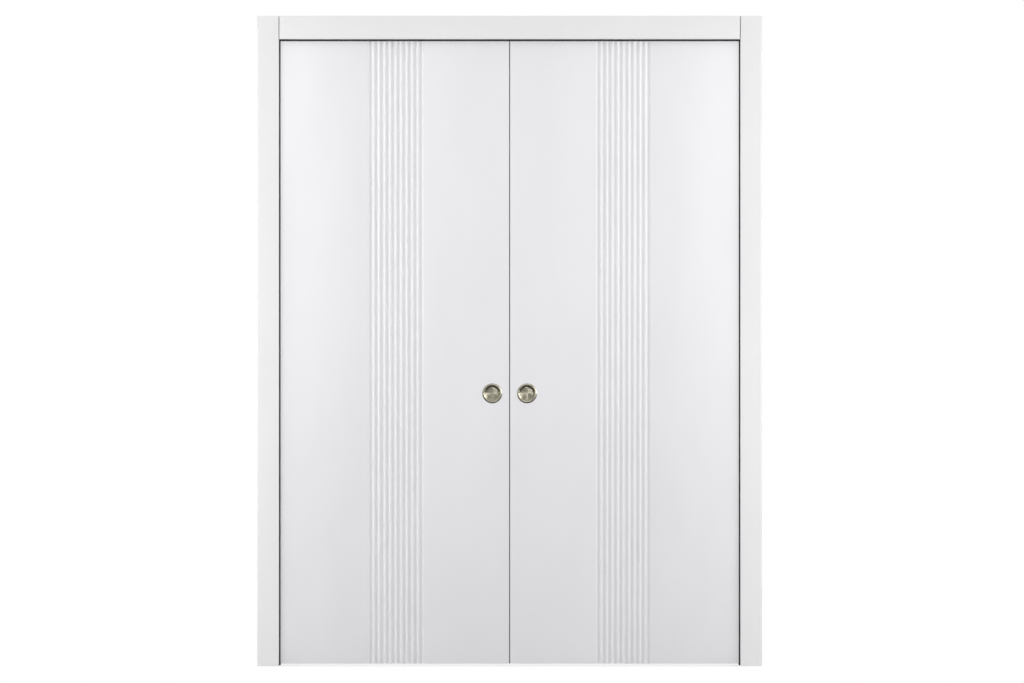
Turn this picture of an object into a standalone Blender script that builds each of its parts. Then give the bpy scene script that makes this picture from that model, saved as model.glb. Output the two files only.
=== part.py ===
"""A double pocket door: two fluted leaves that hang on trolleys and slide apart into a wall.

+X is to the right, the front faces -Y and +Z is up. The origin is on the floor, on the line
where the leaves meet, in the middle of their thickness. Lengths are in metres.
"""

import math

import bmesh
import bpy
from mathutils import Matrix, Vector

# Leaves
SLAB_WIDTH = 0.762
SLAB_HEIGHT = 2.032
SLAB_THICKNESS = 0.040
SKIN_THICKNESS = 0.008
SLAB_ARRIS = 0.0015
MEETING_GAP = 0.003
FLOOR_GAP = 0.007

# Flutes, an upright band on both faces of each leaf
FLUTE_COUNT = 10
FLUTE_PITCH = 0.018
FLUTE_WIDTH = 0.015
FLUTE_DEPTH = 0.0035
FLUTE_BAND_FROM_LEADING_EDGE = 0.368

# Round flush pulls
PULL_DIAMETER = 0.065
PULL_CUP_DIAMETER = 0.047
PULL_CUP_DEPTH = 0.010
PULL_COVE = 0.004
PULL_WALL = 0.0012
PULL_RIM_EDGE = 0.0006
PULL_RIM_HEIGHT = 0.0024
PULL_FROM_LEADING_EDGE = 0.055
PULL_ABOVE_FLOOR = 0.886

# Buffer on the meeting edge of the left leaf
BUFFER_WIDTH = 0.008
BUFFER_TONGUE_WIDTH = 0.003
BUFFER_TONGUE_DEPTH = 0.005
BUFFER_RUNNING_GAP = 0.0004

# Groove in the bottom edge of each leaf, and the floor guide whose fin runs in it
GUIDE_GROOVE_DEPTH = 0.014
GUIDE_FIN_THICKNESS = 0.004
GUIDE_FIN_SIDE_CLEARANCE = 0.00125
GUIDE_FIN_TOP_CLEARANCE = 0.003
GUIDE_BASE_THICKNESS = 0.003
GUIDE_LENGTH = 0.045

# Wall, jambs and casings
WALL_THICKNESS = 0.114
JAMB_CLEARANCE = 0.006
JAMB_THICKNESS = 0.020
JAMB_LAP = 0.0135
HEAD_LAP = 0.002
HEAD_JAMB_BOARD = 0.019
HEAD_JAMB_LIP = 0.018
CASING_WIDTH = 0.070
CASING_THICKNESS = 0.016
HEAD_CASING_WIDTH = 0.075
HEAD_CASING_THICKNESS = 0.013
CASING_ROUND = 0.008
CASING_ARRIS = 0.0015
TONGUE_INSET = 0.007
TONGUE_THICKNESS = 0.006
TONGUE_LENGTH = 0.010

# Dark seals round the opening
SIDE_SEAL_WIDTH = 0.005
HEAD_SEAL_WIDTH = 0.006
SEAL_DEPTH = 0.0115
SEAL_RUNNING_GAP = 0.0005
SEAL_ABOVE_FLOOR = 0.002

# Rail and header board
RAIL_ABOVE_SLAB = 0.023
RAIL_WIDTH = 0.036
RAIL_HEIGHT = 0.034
RAIL_WALL = 0.0025
RAIL_SLOT = 0.012
RAIL_TAIL = 0.008
RAIL_HOLE_DIAMETER = 0.005
RAIL_HOLE_PITCH = 0.300
HEADER_THICKNESS = 0.0157

# Hangers: trolley, axle, wheels, bolt, nut and plate
HANGER_FROM_SLAB_EDGE = 0.060
TROLLEY_LENGTH = 0.034
TROLLEY_ABOVE_AXLE = 0.009
TROLLEY_CORNER = 0.006
NECK_LENGTH = 0.024
NECK_SIDE_CLEARANCE = 0.0005
NECK_BELOW_RAIL = 0.007
WHEEL_DIAMETER = 0.020
WHEEL_WIDTH = 0.007
WHEEL_EDGE = 0.0008
WHEEL_SIDE_PLAY = 0.0008
AXLE_DIAMETER = 0.006
AXLE_HEAD_DIAMETER = 0.009
AXLE_HEAD_THICKNESS = 0.0012
BOLT_DIAMETER = 0.008
BOLT_HEAD_ACROSS_FLATS = 0.013
BOLT_HEAD_HEIGHT = 0.0053
BOLT_IN_TROLLEY = 0.012
NUT_HEIGHT = 0.0065
PLATE_LENGTH = 0.100
PLATE_WIDTH = 0.022
PLATE_THICKNESS = 0.003
PLATE_CORNER = 0.004
MORTISE_CLEARANCE = 0.0015

# Stops in the rail
STOP_LENGTH = 0.024
STOP_HEIGHT = 0.018
STOP_NOSE_LENGTH = 0.006
STOP_NOSE_WIDTH = 0.010
STOP_GAP = 0.0005

# Fits: the gap that seated pieces keep, the play of a turning piece, and how far a pull
# stays clear of the seal when its leaf is open
SEAT_GAP = 0.0003
TURNING_PLAY = 0.0003
PULL_STANDOFF = 0.006

# Facets of round shapes
ROUND_STEPS = 16
PULL_STEPS = 32
ARC_STEPS = 3
FLUTE_STEPS = 6
CUT_MARGIN = 0.002

# Places that follow from the sizes above
SLAB_HALF = SLAB_THICKNESS / 2
CORE_HALF = SLAB_HALF - SKIN_THICKNESS
LEADING_EDGE = MEETING_GAP / 2
SLAB_TOP = FLOOR_GAP + SLAB_HEIGHT
OPENING_HALF = LEADING_EDGE + SLAB_WIDTH - JAMB_LAP
OPENING_HEIGHT = SLAB_TOP - HEAD_LAP
SLOT_HALF = SLAB_HALF + JAMB_CLEARANCE
WALL_HALF = WALL_THICKNESS / 2
JAMB_DEPTH = WALL_HALF - SLOT_HALF
CASING_TOP = OPENING_HEIGHT + HEAD_CASING_WIDTH
RAIL_BOTTOM = SLAB_TOP + RAIL_ABOVE_SLAB
RAIL_TOP = RAIL_BOTTOM + RAIL_HEIGHT
LIP_TOP = RAIL_BOTTOM + RAIL_WALL
RAIL_INNER_HALF = RAIL_WIDTH / 2 - RAIL_WALL
HEADER_BOTTOM = RAIL_TOP + SEAT_GAP
HEADER_TOP = HEADER_BOTTOM + HEADER_THICKNESS
HEADER_HALF = WALL_HALF - HEAD_JAMB_BOARD - SEAT_GAP
WHEEL_RADIUS = WHEEL_DIAMETER / 2
AXLE_HEIGHT = LIP_TOP + SEAT_GAP + WHEEL_RADIUS
TROLLEY_HALF_WIDTH = RAIL_SLOT / 2 - NECK_SIDE_CLEARANCE
NECK_BOTTOM = RAIL_BOTTOM - NECK_BELOW_RAIL
PLATE_BOTTOM = SLAB_TOP + SEAT_GAP
PULL_RADIUS = PULL_DIAMETER / 2
PULL_CUP_OUTER_RADIUS = PULL_CUP_DIAMETER / 2 + PULL_WALL
GUIDE_GROOVE_HALF = GUIDE_FIN_THICKNESS / 2 + GUIDE_FIN_SIDE_CLEARANCE
PULL_OUTER_EDGE = LEADING_EDGE + PULL_FROM_LEADING_EDGE + PULL_RADIUS
TRAVEL = OPENING_HALF - SIDE_SEAL_WIDTH - PULL_STANDOFF - PULL_OUTER_EDGE
HANGER_INSETS = {
    "inner": HANGER_FROM_SLAB_EDGE,
    "outer": SLAB_WIDTH - HANGER_FROM_SLAB_EDGE,
}
CENTRE_STOP_HALF = LEADING_EDGE + HANGER_INSETS["inner"] - TROLLEY_LENGTH / 2 - STOP_GAP
END_STOP_FACE = LEADING_EDGE + HANGER_INSETS["outer"] + TRAVEL + TROLLEY_LENGTH / 2 + STOP_GAP
RAIL_HALF = END_STOP_FACE + STOP_NOSE_LENGTH + STOP_LENGTH + RAIL_TAIL

SIDES = {"left": -1, "right": 1}
FACES = {"front": -1, "back": 1}
X_AXIS = Vector((1, 0, 0))
Y_AXIS = Vector((0, 1, 0))
Z_AXIS = Vector((0, 0, 1))


def finish(name, colour, roughness, metallic=0.0):
    """A Principled material in one colour."""
    made = bpy.data.materials.new(name)
    made.use_nodes = True
    shader = made.node_tree.nodes["Principled BSDF"]
    shader.inputs["Base Color"].default_value = (*colour, 1)
    shader.inputs["Roughness"].default_value = roughness
    shader.inputs["Metallic"].default_value = metallic
    made.diffuse_color = (*colour, 1)
    return made


def empty(name, location):
    made = bpy.data.objects.new(name, None)
    made.location = location
    bpy.context.collection.objects.link(made)
    return made


def place(name, bm, material, parent, origin):
    """Makes an object from a mesh whose places are counted from the given origin."""
    bmesh.ops.remove_doubles(bm, verts=bm.verts, dist=1e-6)
    bmesh.ops.recalc_face_normals(bm, faces=bm.faces)
    mesh = bpy.data.meshes.new(name)
    bm.to_mesh(mesh)
    bm.free()
    mesh.materials.append(material)
    made = bpy.data.objects.new(name, mesh)
    made.parent = parent
    made.location = Vector(origin) - parent.location
    bpy.context.collection.objects.link(made)
    return made


def prism(name, outline, axis, low, high, material, parent):
    """Sweeps an outline straight along x, y or z. Its points hold the other two axes, in order."""
    at = "xyz".index(axis)
    bm = bmesh.new()
    corners = []
    for point in outline:
        place_of_corner = list(point)
        place_of_corner.insert(at, low)
        corners.append(bm.verts.new(place_of_corner))
    end = bm.faces.new(corners)
    swept = bmesh.ops.extrude_face_region(bm, geom=[end])
    moved = [part for part in swept["geom"] if isinstance(part, bmesh.types.BMVert)]
    sweep = [0, 0, 0]
    sweep[at] = high - low
    bmesh.ops.translate(bm, verts=moved, vec=sweep)
    bm.transform(Matrix.Translation(-parent.location))
    return place(name, bm, material, parent, parent.location)


def turned(name, profile, axis, centre, steps, material, parent):
    """Spins a profile round an axis. Its points are (radius, distance along the axis from centre)."""
    across = Z_AXIS if axis != Z_AXIS else X_AXIS
    bm = bmesh.new()
    corners = [bm.verts.new(across * r + axis * along) for r, along in profile]
    edges = [bm.edges.new(pair) for pair in zip(corners, corners[1:])]
    if profile[0][0] > 0:
        edges.append(bm.edges.new((corners[-1], corners[0])))
    bmesh.ops.spin(
        bm, geom=corners + edges, cent=(0, 0, 0), axis=axis, angle=math.tau, steps=steps, use_merge=True
    )
    made = place(name, bm, material, parent, centre)
    made.data.shade_smooth()
    made.data.set_sharp_from_angle(angle=math.radians(35))
    return made


def as_tool(tool):
    """Hides a shape that only cuts or joins another."""
    tool.hide_render = True
    tool.display_type = "WIRE"
    return tool


def combine(target, tool, operation):
    """Cuts a tool's shape out of an object, or joins it on."""
    step = target.modifiers.new(operation.lower(), "BOOLEAN")
    step.operation = operation
    step.solver = "EXACT"
    step.object = as_tool(tool)


def cut(target, tool):
    combine(target, tool, "DIFFERENCE")


def rod(name, radius, axis, centre, low, high, material, parent, steps=ROUND_STEPS):
    """A plain round bar, for shafts and for the tools that drill holes."""
    profile = [(0, low), (radius, low), (radius, high), (0, high)]
    return turned(name, profile, axis, centre, steps, material, parent)


def box(name, low, high, material, parent):
    outline = [(low[0], low[1]), (high[0], low[1]), (high[0], high[1]), (low[0], high[1])]
    return prism(name, outline, "z", low[2], high[2], material, parent)


def arc(centre, across, up, start, end, steps):
    """Points along an ellipse's arc, ends included, with angles in degrees."""
    points = []
    for step in range(steps + 1):
        turn = math.radians(start + (end - start) * step / steps)
        points.append((centre[0] + across * math.cos(turn), centre[1] + up * math.sin(turn)))
    return points


def round_corner(centre, radius, start):
    return arc(centre, radius, radius, start, start + 90, ARC_STEPS)


def rounded_rectangle(half_length, half_width, radius):
    points = []
    for start, sign in zip((0, 90, 180, 270), ((1, 1), (-1, 1), (-1, -1), (1, -1))):
        centre = (sign[0] * (half_length - radius), sign[1] * (half_width - radius))
        points += round_corner(centre, radius, start)
    return points


def hexagon(across_flats):
    corner = across_flats / math.sqrt(3)
    return arc((0, 0), corner, corner, 0, 300, 5)


def moved_outline(outline, x, y):
    return [(x + point[0], y + point[1]) for point in outline]


def casing_outline(width, thickness, outer_round):
    """Section of a casing: from its inner edge outwards, and from the wall outwards.

    The tongue behind it plugs into the jamb."""
    tongue_end = TONGUE_INSET + TONGUE_THICKNESS
    outline = [
        (0, 0),
        (TONGUE_INSET, 0),
        (TONGUE_INSET, -TONGUE_LENGTH),
        (tongue_end, -TONGUE_LENGTH),
        (tongue_end, 0),
        (width, 0),
    ]
    outline += round_corner((width - outer_round, thickness - outer_round), outer_round, 0)
    outline += round_corner((CASING_ARRIS, thickness - CASING_ARRIS), CASING_ARRIS, 90)
    return outline


def tongue_groove(face):
    """The groove that takes a casing's tongue, cut back from a jamb's wall face."""
    floor = face - TONGUE_LENGTH - SEAT_GAP
    start = TONGUE_INSET - SEAT_GAP
    end = TONGUE_INSET + TONGUE_THICKNESS + SEAT_GAP
    return [(start, face), (start, floor), (end, floor), (end, face)]


def build_side_jamb(side, face, parent):
    outline = [(0, JAMB_DEPTH), *tongue_groove(JAMB_DEPTH), (JAMB_THICKNESS, JAMB_DEPTH)]
    outline += [(JAMB_THICKNESS, 0), (0, 0)]
    x, y = SIDES[side], FACES[face]
    plan = [(x * (OPENING_HALF + out), y * (SLOT_HALF + deep)) for out, deep in outline]
    prism(f"{face}_{side}_jamb", plan, "z", 0, RAIL_TOP, LACQUER, parent)


def build_head_jamb(face, parent):
    board_start = JAMB_DEPTH - HEAD_JAMB_BOARD
    top = HEADER_TOP - OPENING_HEIGHT
    outline = [(0, JAMB_DEPTH), *tongue_groove(JAMB_DEPTH), (top, JAMB_DEPTH), (top, board_start)]
    outline += [(HEAD_JAMB_LIP, board_start), (HEAD_JAMB_LIP, 0), (0, 0)]
    y = FACES[face]
    section = [(y * (SLOT_HALF + deep), OPENING_HEIGHT + up) for up, deep in outline]
    half = OPENING_HALF - SEAT_GAP
    prism(f"{face}_head_jamb", section, "x", -half, half, LACQUER, parent)


def build_casings(face, parent):
    y = FACES[face]
    wall = WALL_HALF + SEAT_GAP
    legs = casing_outline(CASING_WIDTH, CASING_THICKNESS, CASING_ROUND)
    for side, x in SIDES.items():
        plan = [(x * (OPENING_HALF + across), y * (wall + out)) for across, out in legs]
        prism(f"{face}_{side}_casing", plan, "z", 0, CASING_TOP, LACQUER, parent)
    head = casing_outline(HEAD_CASING_WIDTH, HEAD_CASING_THICKNESS, CASING_ARRIS)
    section = [(y * (wall + out), OPENING_HEIGHT + up) for up, out in head]
    half = OPENING_HALF - SEAT_GAP
    prism(f"{face}_head_casing", section, "x", -half, half, LACQUER, parent)


def build_seal(face, parent):
    """One strip up the left jamb, along the head and down the right jamb."""
    outer = OPENING_HALF - SEAT_GAP
    inner = OPENING_HALF - SIDE_SEAL_WIDTH
    top = OPENING_HEIGHT - SEAT_GAP
    under = OPENING_HEIGHT - HEAD_SEAL_WIDTH
    foot = SEAL_ABOVE_FLOOR
    right = [(inner, under), (inner, foot), (outer, foot), (outer, top)]
    left = [(-x, z) for x, z in reversed(right)]
    near = FACES[face] * (SLAB_HALF + SEAL_RUNNING_GAP)
    far = FACES[face] * (SLAB_HALF + SEAL_RUNNING_GAP + SEAL_DEPTH)
    prism(f"{face}_seal", right + left, "y", near, far, SEAL, parent)


def build_rail(parent):
    half = RAIL_WIDTH / 2
    slot = RAIL_SLOT / 2
    inner_top = RAIL_TOP - RAIL_WALL
    right = [(slot, LIP_TOP), (slot, RAIL_BOTTOM), (half, RAIL_BOTTOM), (half, RAIL_TOP)]
    inside = [(RAIL_INNER_HALF, inner_top), (RAIL_INNER_HALF, LIP_TOP)]
    left = [(-y, z) for y, z in reversed(right)]
    inside_left = [(-y, z) for y, z in reversed(inside)]
    section = right + left + inside_left + inside
    rail = prism("rail", section, "x", -RAIL_HALF, RAIL_HALF, ALUMINIUM, parent)
    holes_each_way = math.floor(END_STOP_FACE / RAIL_HOLE_PITCH + 0.5)
    depth = RAIL_WALL + CUT_MARGIN
    for number in range(-holes_each_way, holes_each_way):
        centre = ((number + 0.5) * RAIL_HOLE_PITCH, 0, RAIL_TOP)
        name = f"rail_drill_{number + holes_each_way}"
        radius = RAIL_HOLE_DIAMETER / 2
        cut(rail, rod(name, radius, Z_AXIS, centre, -depth, CUT_MARGIN, ALUMINIUM, parent))


def build_header(parent):
    low = (-RAIL_HALF, -HEADER_HALF, HEADER_BOTTOM)
    high = (RAIL_HALF, HEADER_HALF, HEADER_TOP)
    box("header_board", low, high, PINE, parent)


def build_stops(parent):
    low = LIP_TOP + SEAT_GAP
    body = RAIL_INNER_HALF - SEAT_GAP
    nose = STOP_NOSE_WIDTH / 2
    for side, x in SIDES.items():
        face = END_STOP_FACE
        shoulder = face + STOP_NOSE_LENGTH
        end = shoulder + STOP_LENGTH
        upper = [(face, nose), (shoulder, nose), (shoulder, body), (end, body)]
        lower = [(along, -across) for along, across in reversed(upper)]
        plan = [(x * along, across) for along, across in upper + lower]
        prism(f"{side}_end_stop", plan, "z", low, low + STOP_HEIGHT, STEEL, parent)
    shoulder = CENTRE_STOP_HALF - STOP_NOSE_LENGTH
    quarter = [(CENTRE_STOP_HALF, nose), (shoulder, nose), (shoulder, body)]
    upper = quarter + [(-along, across) for along, across in reversed(quarter)]
    lower = [(along, -across) for along, across in reversed(upper)]
    prism("centre_stop", upper + lower, "z", low, low + STOP_HEIGHT, STEEL, parent)


def build_floor_guide(side, parent):
    half = SLOT_HALF - SEAT_GAP
    fin = GUIDE_FIN_THICKNESS / 2
    fin_top = FLOOR_GAP + GUIDE_GROOVE_DEPTH - GUIDE_FIN_TOP_CLEARANCE
    base = GUIDE_BASE_THICKNESS
    section = [(-half, 0), (half, 0), (half, base), (fin, base), (fin, fin_top)]
    section += [(-fin, fin_top), (-fin, base), (-half, base)]
    start = OPENING_HALF + SEAT_GAP
    ends = sorted(SIDES[side] * along for along in (start, start + GUIDE_LENGTH))
    prism(f"{side}_floor_guide", section, "x", *ends, NYLON, parent)


def skin_outline():
    """Plan of a skin: from the leading edge outwards, and from the core outwards."""
    face = SLAB_HALF
    inner = CORE_HALF + SEAT_GAP
    outline = [(0, inner)]
    edge = SLAB_ARRIS
    outline += list(reversed(round_corner((edge, face - edge), edge, 90)))
    radius = (FLUTE_WIDTH**2 / 4 + FLUTE_DEPTH**2) / (2 * FLUTE_DEPTH)
    spread = math.degrees(math.asin(FLUTE_WIDTH / 2 / radius))
    first = FLUTE_BAND_FROM_LEADING_EDGE - FLUTE_PITCH * (FLUTE_COUNT - 1) / 2
    for number in range(FLUTE_COUNT):
        centre = (first + number * FLUTE_PITCH, face + radius - FLUTE_DEPTH)
        outline += arc(centre, radius, radius, 270 - spread, 270 + spread, FLUTE_STEPS)
    far = (SLAB_WIDTH - edge, face - edge)
    outline += list(reversed(round_corner(far, edge, 0)))
    outline.append((SLAB_WIDTH, inner))
    return outline


def build_skin(side, face, parent):
    x, y = SIDES[side], FACES[face]
    plan = [(x * (LEADING_EDGE + out), y * deep) for out, deep in skin_outline()]
    name = f"{side}_{face}_skin"
    skin = prism(name, plan, "z", FLOOR_GAP, SLAB_TOP, LACQUER, parent)
    centre = (x * (LEADING_EDGE + PULL_FROM_LEADING_EDGE), 0, PULL_ABOVE_FLOOR)
    ends = sorted(y * depth for depth in (CORE_HALF - CUT_MARGIN, SLAB_HALF + CUT_MARGIN))
    radius = PULL_CUP_OUTER_RADIUS + SEAT_GAP
    cut(skin, rod(name + "_drill", radius, Y_AXIS, centre, *ends, LACQUER, parent, PULL_STEPS))


def build_core(side, parent):
    x = SIDES[side]
    groove_top = FLOOR_GAP + GUIDE_GROOVE_DEPTH
    half = [(GUIDE_GROOVE_HALF, groove_top), (GUIDE_GROOVE_HALF, FLOOR_GAP)]
    half += [(CORE_HALF, FLOOR_GAP), (CORE_HALF, SLAB_TOP)]
    section = half + [(-y, z) for y, z in reversed(half)]
    ends = sorted(x * (LEADING_EDGE + out) for out in (0, SLAB_WIDTH))
    core = prism(f"{side}_core", section, "x", *ends, PINE, parent)
    pull = (x * (LEADING_EDGE + PULL_FROM_LEADING_EDGE), 0, PULL_ABOVE_FLOOR)
    radius = PULL_CUP_OUTER_RADIUS + SEAT_GAP
    floor = SLAB_HALF - PULL_CUP_DEPTH - PULL_WALL - SEAT_GAP
    for face, y in FACES.items():
        depth = sorted(y * at for at in (floor, CORE_HALF + CUT_MARGIN))
        name = f"{side}_core_{face}_drill"
        cut(core, rod(name, radius, Y_AXIS, pull, *depth, PINE, parent, PULL_STEPS))
    mortise = BOLT_HEAD_ACROSS_FLATS / math.sqrt(3) + MORTISE_CLEARANCE
    depth = BOLT_HEAD_HEIGHT + MORTISE_CLEARANCE
    for place_name, inset in HANGER_INSETS.items():
        centre = (x * (LEADING_EDGE + inset), 0, SLAB_TOP)
        name = f"{side}_core_{place_name}_mortise"
        cut(core, rod(name, mortise, Z_AXIS, centre, -depth, CUT_MARGIN, PINE, parent))
    return core


def build_buffer(core, parent):
    """Rubber strip let into the left leaf's meeting edge."""
    head = BUFFER_WIDTH / 2
    tongue = BUFFER_TONGUE_WIDTH / 2
    edge = -LEADING_EDGE
    seat = edge + SEAT_GAP
    tip = edge + MEETING_GAP - BUFFER_RUNNING_GAP
    root = edge - BUFFER_TONGUE_DEPTH
    upper = [(tip, head), (seat, head), (seat, tongue), (root, tongue)]
    plan = upper + [(x, -y) for x, y in reversed(upper)]
    prism("meeting_buffer", plan, "z", FLOOR_GAP, SLAB_TOP, SEAL, parent)
    low = (root - SEAT_GAP, -tongue - SEAT_GAP, FLOOR_GAP - CUT_MARGIN)
    high = (edge + CUT_MARGIN, tongue + SEAT_GAP, SLAB_TOP + CUT_MARGIN)
    cut(core, box("left_core_kerf", low, high, PINE, parent))


def pull_profile():
    """Section of a pull: radius, and height out of the leaf's face."""
    cup = PULL_CUP_DIAMETER / 2
    floor = -PULL_CUP_DEPTH
    rim_foot = SEAT_GAP + PULL_RIM_EDGE
    middle = (cup + PULL_RADIUS) / 2
    profile = [(0, floor)]
    profile += arc((cup - PULL_COVE, floor + PULL_COVE), PULL_COVE, PULL_COVE, 270, 360, ARC_STEPS)
    rim = arc((middle, rim_foot), PULL_RADIUS - middle, PULL_RIM_HEIGHT - rim_foot, 180, 0, 2 * ARC_STEPS)
    profile += rim
    profile += [(PULL_RADIUS, SEAT_GAP), (PULL_CUP_OUTER_RADIUS, SEAT_GAP)]
    profile += [(PULL_CUP_OUTER_RADIUS, floor - PULL_WALL), (0, floor - PULL_WALL)]
    return profile


def build_pull(side, face, parent):
    x, y = SIDES[side], FACES[face]
    centre = (x * (LEADING_EDGE + PULL_FROM_LEADING_EDGE), y * SLAB_HALF, PULL_ABOVE_FLOOR)
    profile = [(radius, y * height) for radius, height in pull_profile()]
    turned(f"{side}_{face}_pull", profile, Y_AXIS, centre, PULL_STEPS, NICKEL, parent)


def build_plate(name, x, parent):
    outline = moved_outline(rounded_rectangle(PLATE_LENGTH / 2, PLATE_WIDTH / 2, PLATE_CORNER), x, 0)
    plate = prism(name, outline, "z", PLATE_BOTTOM, PLATE_BOTTOM + PLATE_THICKNESS, STEEL, parent)
    radius = BOLT_DIAMETER / 2 + SEAT_GAP
    centre = (x, 0, PLATE_BOTTOM)
    top = PLATE_THICKNESS + CUT_MARGIN
    cut(plate, rod(name + "_drill", radius, Z_AXIS, centre, -CUT_MARGIN, top, STEEL, parent))


def build_bolt(name, x, parent):
    """Hex bolt: its head lies under the plate, its shank screws up into the trolley."""
    head_top = PLATE_BOTTOM - SEAT_GAP
    head = moved_outline(hexagon(BOLT_HEAD_ACROSS_FLATS), x, 0)
    bolt = prism(name, head, "z", head_top - BOLT_HEAD_HEIGHT, head_top, STEEL, parent)
    centre = (x, 0, head_top)
    top = NECK_BOTTOM + BOLT_IN_TROLLEY - head_top
    radius = BOLT_DIAMETER / 2
    shank = rod(name + "_shank", radius, Z_AXIS, centre, -BOLT_HEAD_HEIGHT / 2, top, STEEL, parent)
    combine(bolt, shank, "UNION")


def build_nut(name, x, parent):
    top = NECK_BOTTOM - SEAT_GAP
    outline = moved_outline(hexagon(BOLT_HEAD_ACROSS_FLATS), x, 0)
    nut = prism(name, outline, "z", top - NUT_HEIGHT, top, STEEL, parent)
    radius = BOLT_DIAMETER / 2 + SEAT_GAP
    low = -NUT_HEIGHT - CUT_MARGIN
    cut(nut, rod(name + "_drill", radius, Z_AXIS, (x, 0, top), low, CUT_MARGIN, STEEL, parent))


def build_trolley(name, x, parent):
    """A body between the wheels, whose neck reaches down through the rail's slot."""
    half = TROLLEY_LENGTH / 2
    neck = NECK_LENGTH / 2
    top = AXLE_HEIGHT + TROLLEY_ABOVE_AXLE
    right = [(neck, NECK_BOTTOM), (neck, LIP_TOP), (half, LIP_TOP + half - neck)]
    right += round_corner((half - TROLLEY_CORNER, top - TROLLEY_CORNER), TROLLEY_CORNER, 0)
    left = [(-along, z) for along, z in reversed(right)]
    outline = moved_outline(right + left, x, 0)
    ends = (-TROLLEY_HALF_WIDTH, TROLLEY_HALF_WIDTH)
    body = prism(name, outline, "y", *ends, STEEL, parent)
    reach = TROLLEY_HALF_WIDTH + CUT_MARGIN
    bore = AXLE_DIAMETER / 2 + SEAT_GAP
    centre = (x, 0, AXLE_HEIGHT)
    cut(body, rod(name + "_axle_drill", bore, Y_AXIS, centre, -reach, reach, STEEL, parent))
    thread = BOLT_DIAMETER / 2 + SEAT_GAP
    foot = (x, 0, NECK_BOTTOM)
    depth = BOLT_IN_TROLLEY + SEAT_GAP
    cut(body, rod(name + "_bolt_drill", thread, Z_AXIS, foot, -CUT_MARGIN, depth, STEEL, parent))


def build_axle(name, x, parent):
    wheel_outside = TROLLEY_HALF_WIDTH + WHEEL_SIDE_PLAY + WHEEL_WIDTH
    neck = wheel_outside + SEAT_GAP
    end = neck + AXLE_HEAD_THICKNESS
    radius, head = AXLE_DIAMETER / 2, AXLE_HEAD_DIAMETER / 2
    half = [(0, end), (head, end), (head, neck), (radius, neck)]
    profile = half + [(r, -along) for r, along in reversed(half)]
    turned(name, profile, Y_AXIS, (x, 0, AXLE_HEIGHT), ROUND_STEPS, STEEL, parent)


def build_wheel(name, x, face, parent):
    bore = AXLE_DIAMETER / 2 + TURNING_PLAY
    half, edge = WHEEL_WIDTH / 2, WHEEL_EDGE
    profile = [(bore, -half), (WHEEL_RADIUS - edge, -half), (WHEEL_RADIUS, edge - half)]
    profile += [(r, -along) for r, along in reversed(profile)]
    across = FACES[face] * (TROLLEY_HALF_WIDTH + WHEEL_SIDE_PLAY + half)
    turned(name, profile, Y_AXIS, (x, across, AXLE_HEIGHT), ROUND_STEPS, NYLON, parent)


def build_leaf(side):
    leaf = empty(f"{side}_leaf", (SIDES[side] * LEADING_EDGE, 0, FLOOR_GAP))
    core = build_core(side, leaf)
    if side == "left":
        build_buffer(core, leaf)
    for face in FACES:
        build_skin(side, face, leaf)
        build_pull(side, face, leaf)
    for place_name, inset in HANGER_INSETS.items():
        x = SIDES[side] * (LEADING_EDGE + inset)
        name = f"{side}_{place_name}"
        build_plate(name + "_hanger_plate", x, leaf)
        build_bolt(name + "_hanger_bolt", x, leaf)
        build_nut(name + "_lock_nut", x, leaf)
        build_trolley(name + "_trolley", x, leaf)
        build_axle(name + "_axle", x, leaf)
        for face in FACES:
            build_wheel(f"{name}_{face}_wheel", x, face, leaf)


def build_frame():
    frame = empty("frame", (0, 0, 0))
    build_rail(frame)
    build_header(frame)
    build_stops(frame)
    for face in FACES:
        build_head_jamb(face, frame)
        build_casings(face, frame)
        build_seal(face, frame)
        for side in SIDES:
            build_side_jamb(side, face, frame)
    for side in SIDES:
        build_floor_guide(side, frame)


for left_over in list(bpy.data.objects):
    bpy.data.objects.remove(left_over)

LACQUER = finish("white_lacquer", (0.80, 0.80, 0.81), 0.45)
NICKEL = finish("satin_nickel", (0.52, 0.50, 0.44), 0.32, 1.0)
SEAL = finish("dark_seal", (0.035, 0.035, 0.035), 0.85)
ALUMINIUM = finish("mill_aluminium", (0.78, 0.79, 0.80), 0.35, 1.0)
STEEL = finish("zinc_steel", (0.66, 0.67, 0.68), 0.35, 1.0)
NYLON = finish("nylon", (0.82, 0.81, 0.77), 0.5)
PINE = finish("pine", (0.72, 0.55, 0.36), 0.7)

build_frame()
for leaf_side in SIDES:
    build_leaf(leaf_side)
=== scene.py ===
# %% [markdown]
# # A double pocket door, dressed for its picture
# Two white leaves with a band of upright flutes hang on trolleys and slide apart into a wall.
# The engineered model comes in as a fixed frame that already moves. This lesson puts finer pieces
# over it: eased edges, routed flutes, turned pulls, threads and screws, each with its own finish.
# Lengths are in metres, +X is to the right, the front faces -Y and the floor is at Z = 0.

# %% Load the frame
import math

import bpy
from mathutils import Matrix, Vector


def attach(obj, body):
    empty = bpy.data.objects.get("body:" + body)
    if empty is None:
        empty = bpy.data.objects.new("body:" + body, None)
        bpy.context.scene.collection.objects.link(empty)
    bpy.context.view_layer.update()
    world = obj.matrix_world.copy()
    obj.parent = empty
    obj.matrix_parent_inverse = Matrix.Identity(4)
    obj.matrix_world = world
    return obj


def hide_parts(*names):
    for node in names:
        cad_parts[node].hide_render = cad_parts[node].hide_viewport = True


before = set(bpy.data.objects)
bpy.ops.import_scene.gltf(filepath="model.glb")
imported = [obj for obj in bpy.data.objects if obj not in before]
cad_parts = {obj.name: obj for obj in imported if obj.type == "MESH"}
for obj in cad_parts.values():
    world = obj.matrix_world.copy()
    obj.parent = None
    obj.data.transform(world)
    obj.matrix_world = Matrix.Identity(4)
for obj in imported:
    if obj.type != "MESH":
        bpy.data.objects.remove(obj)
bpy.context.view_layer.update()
SIDES = {"left": -1, "right": 1}
FACES = {"front": -1, "back": 1}
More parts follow.
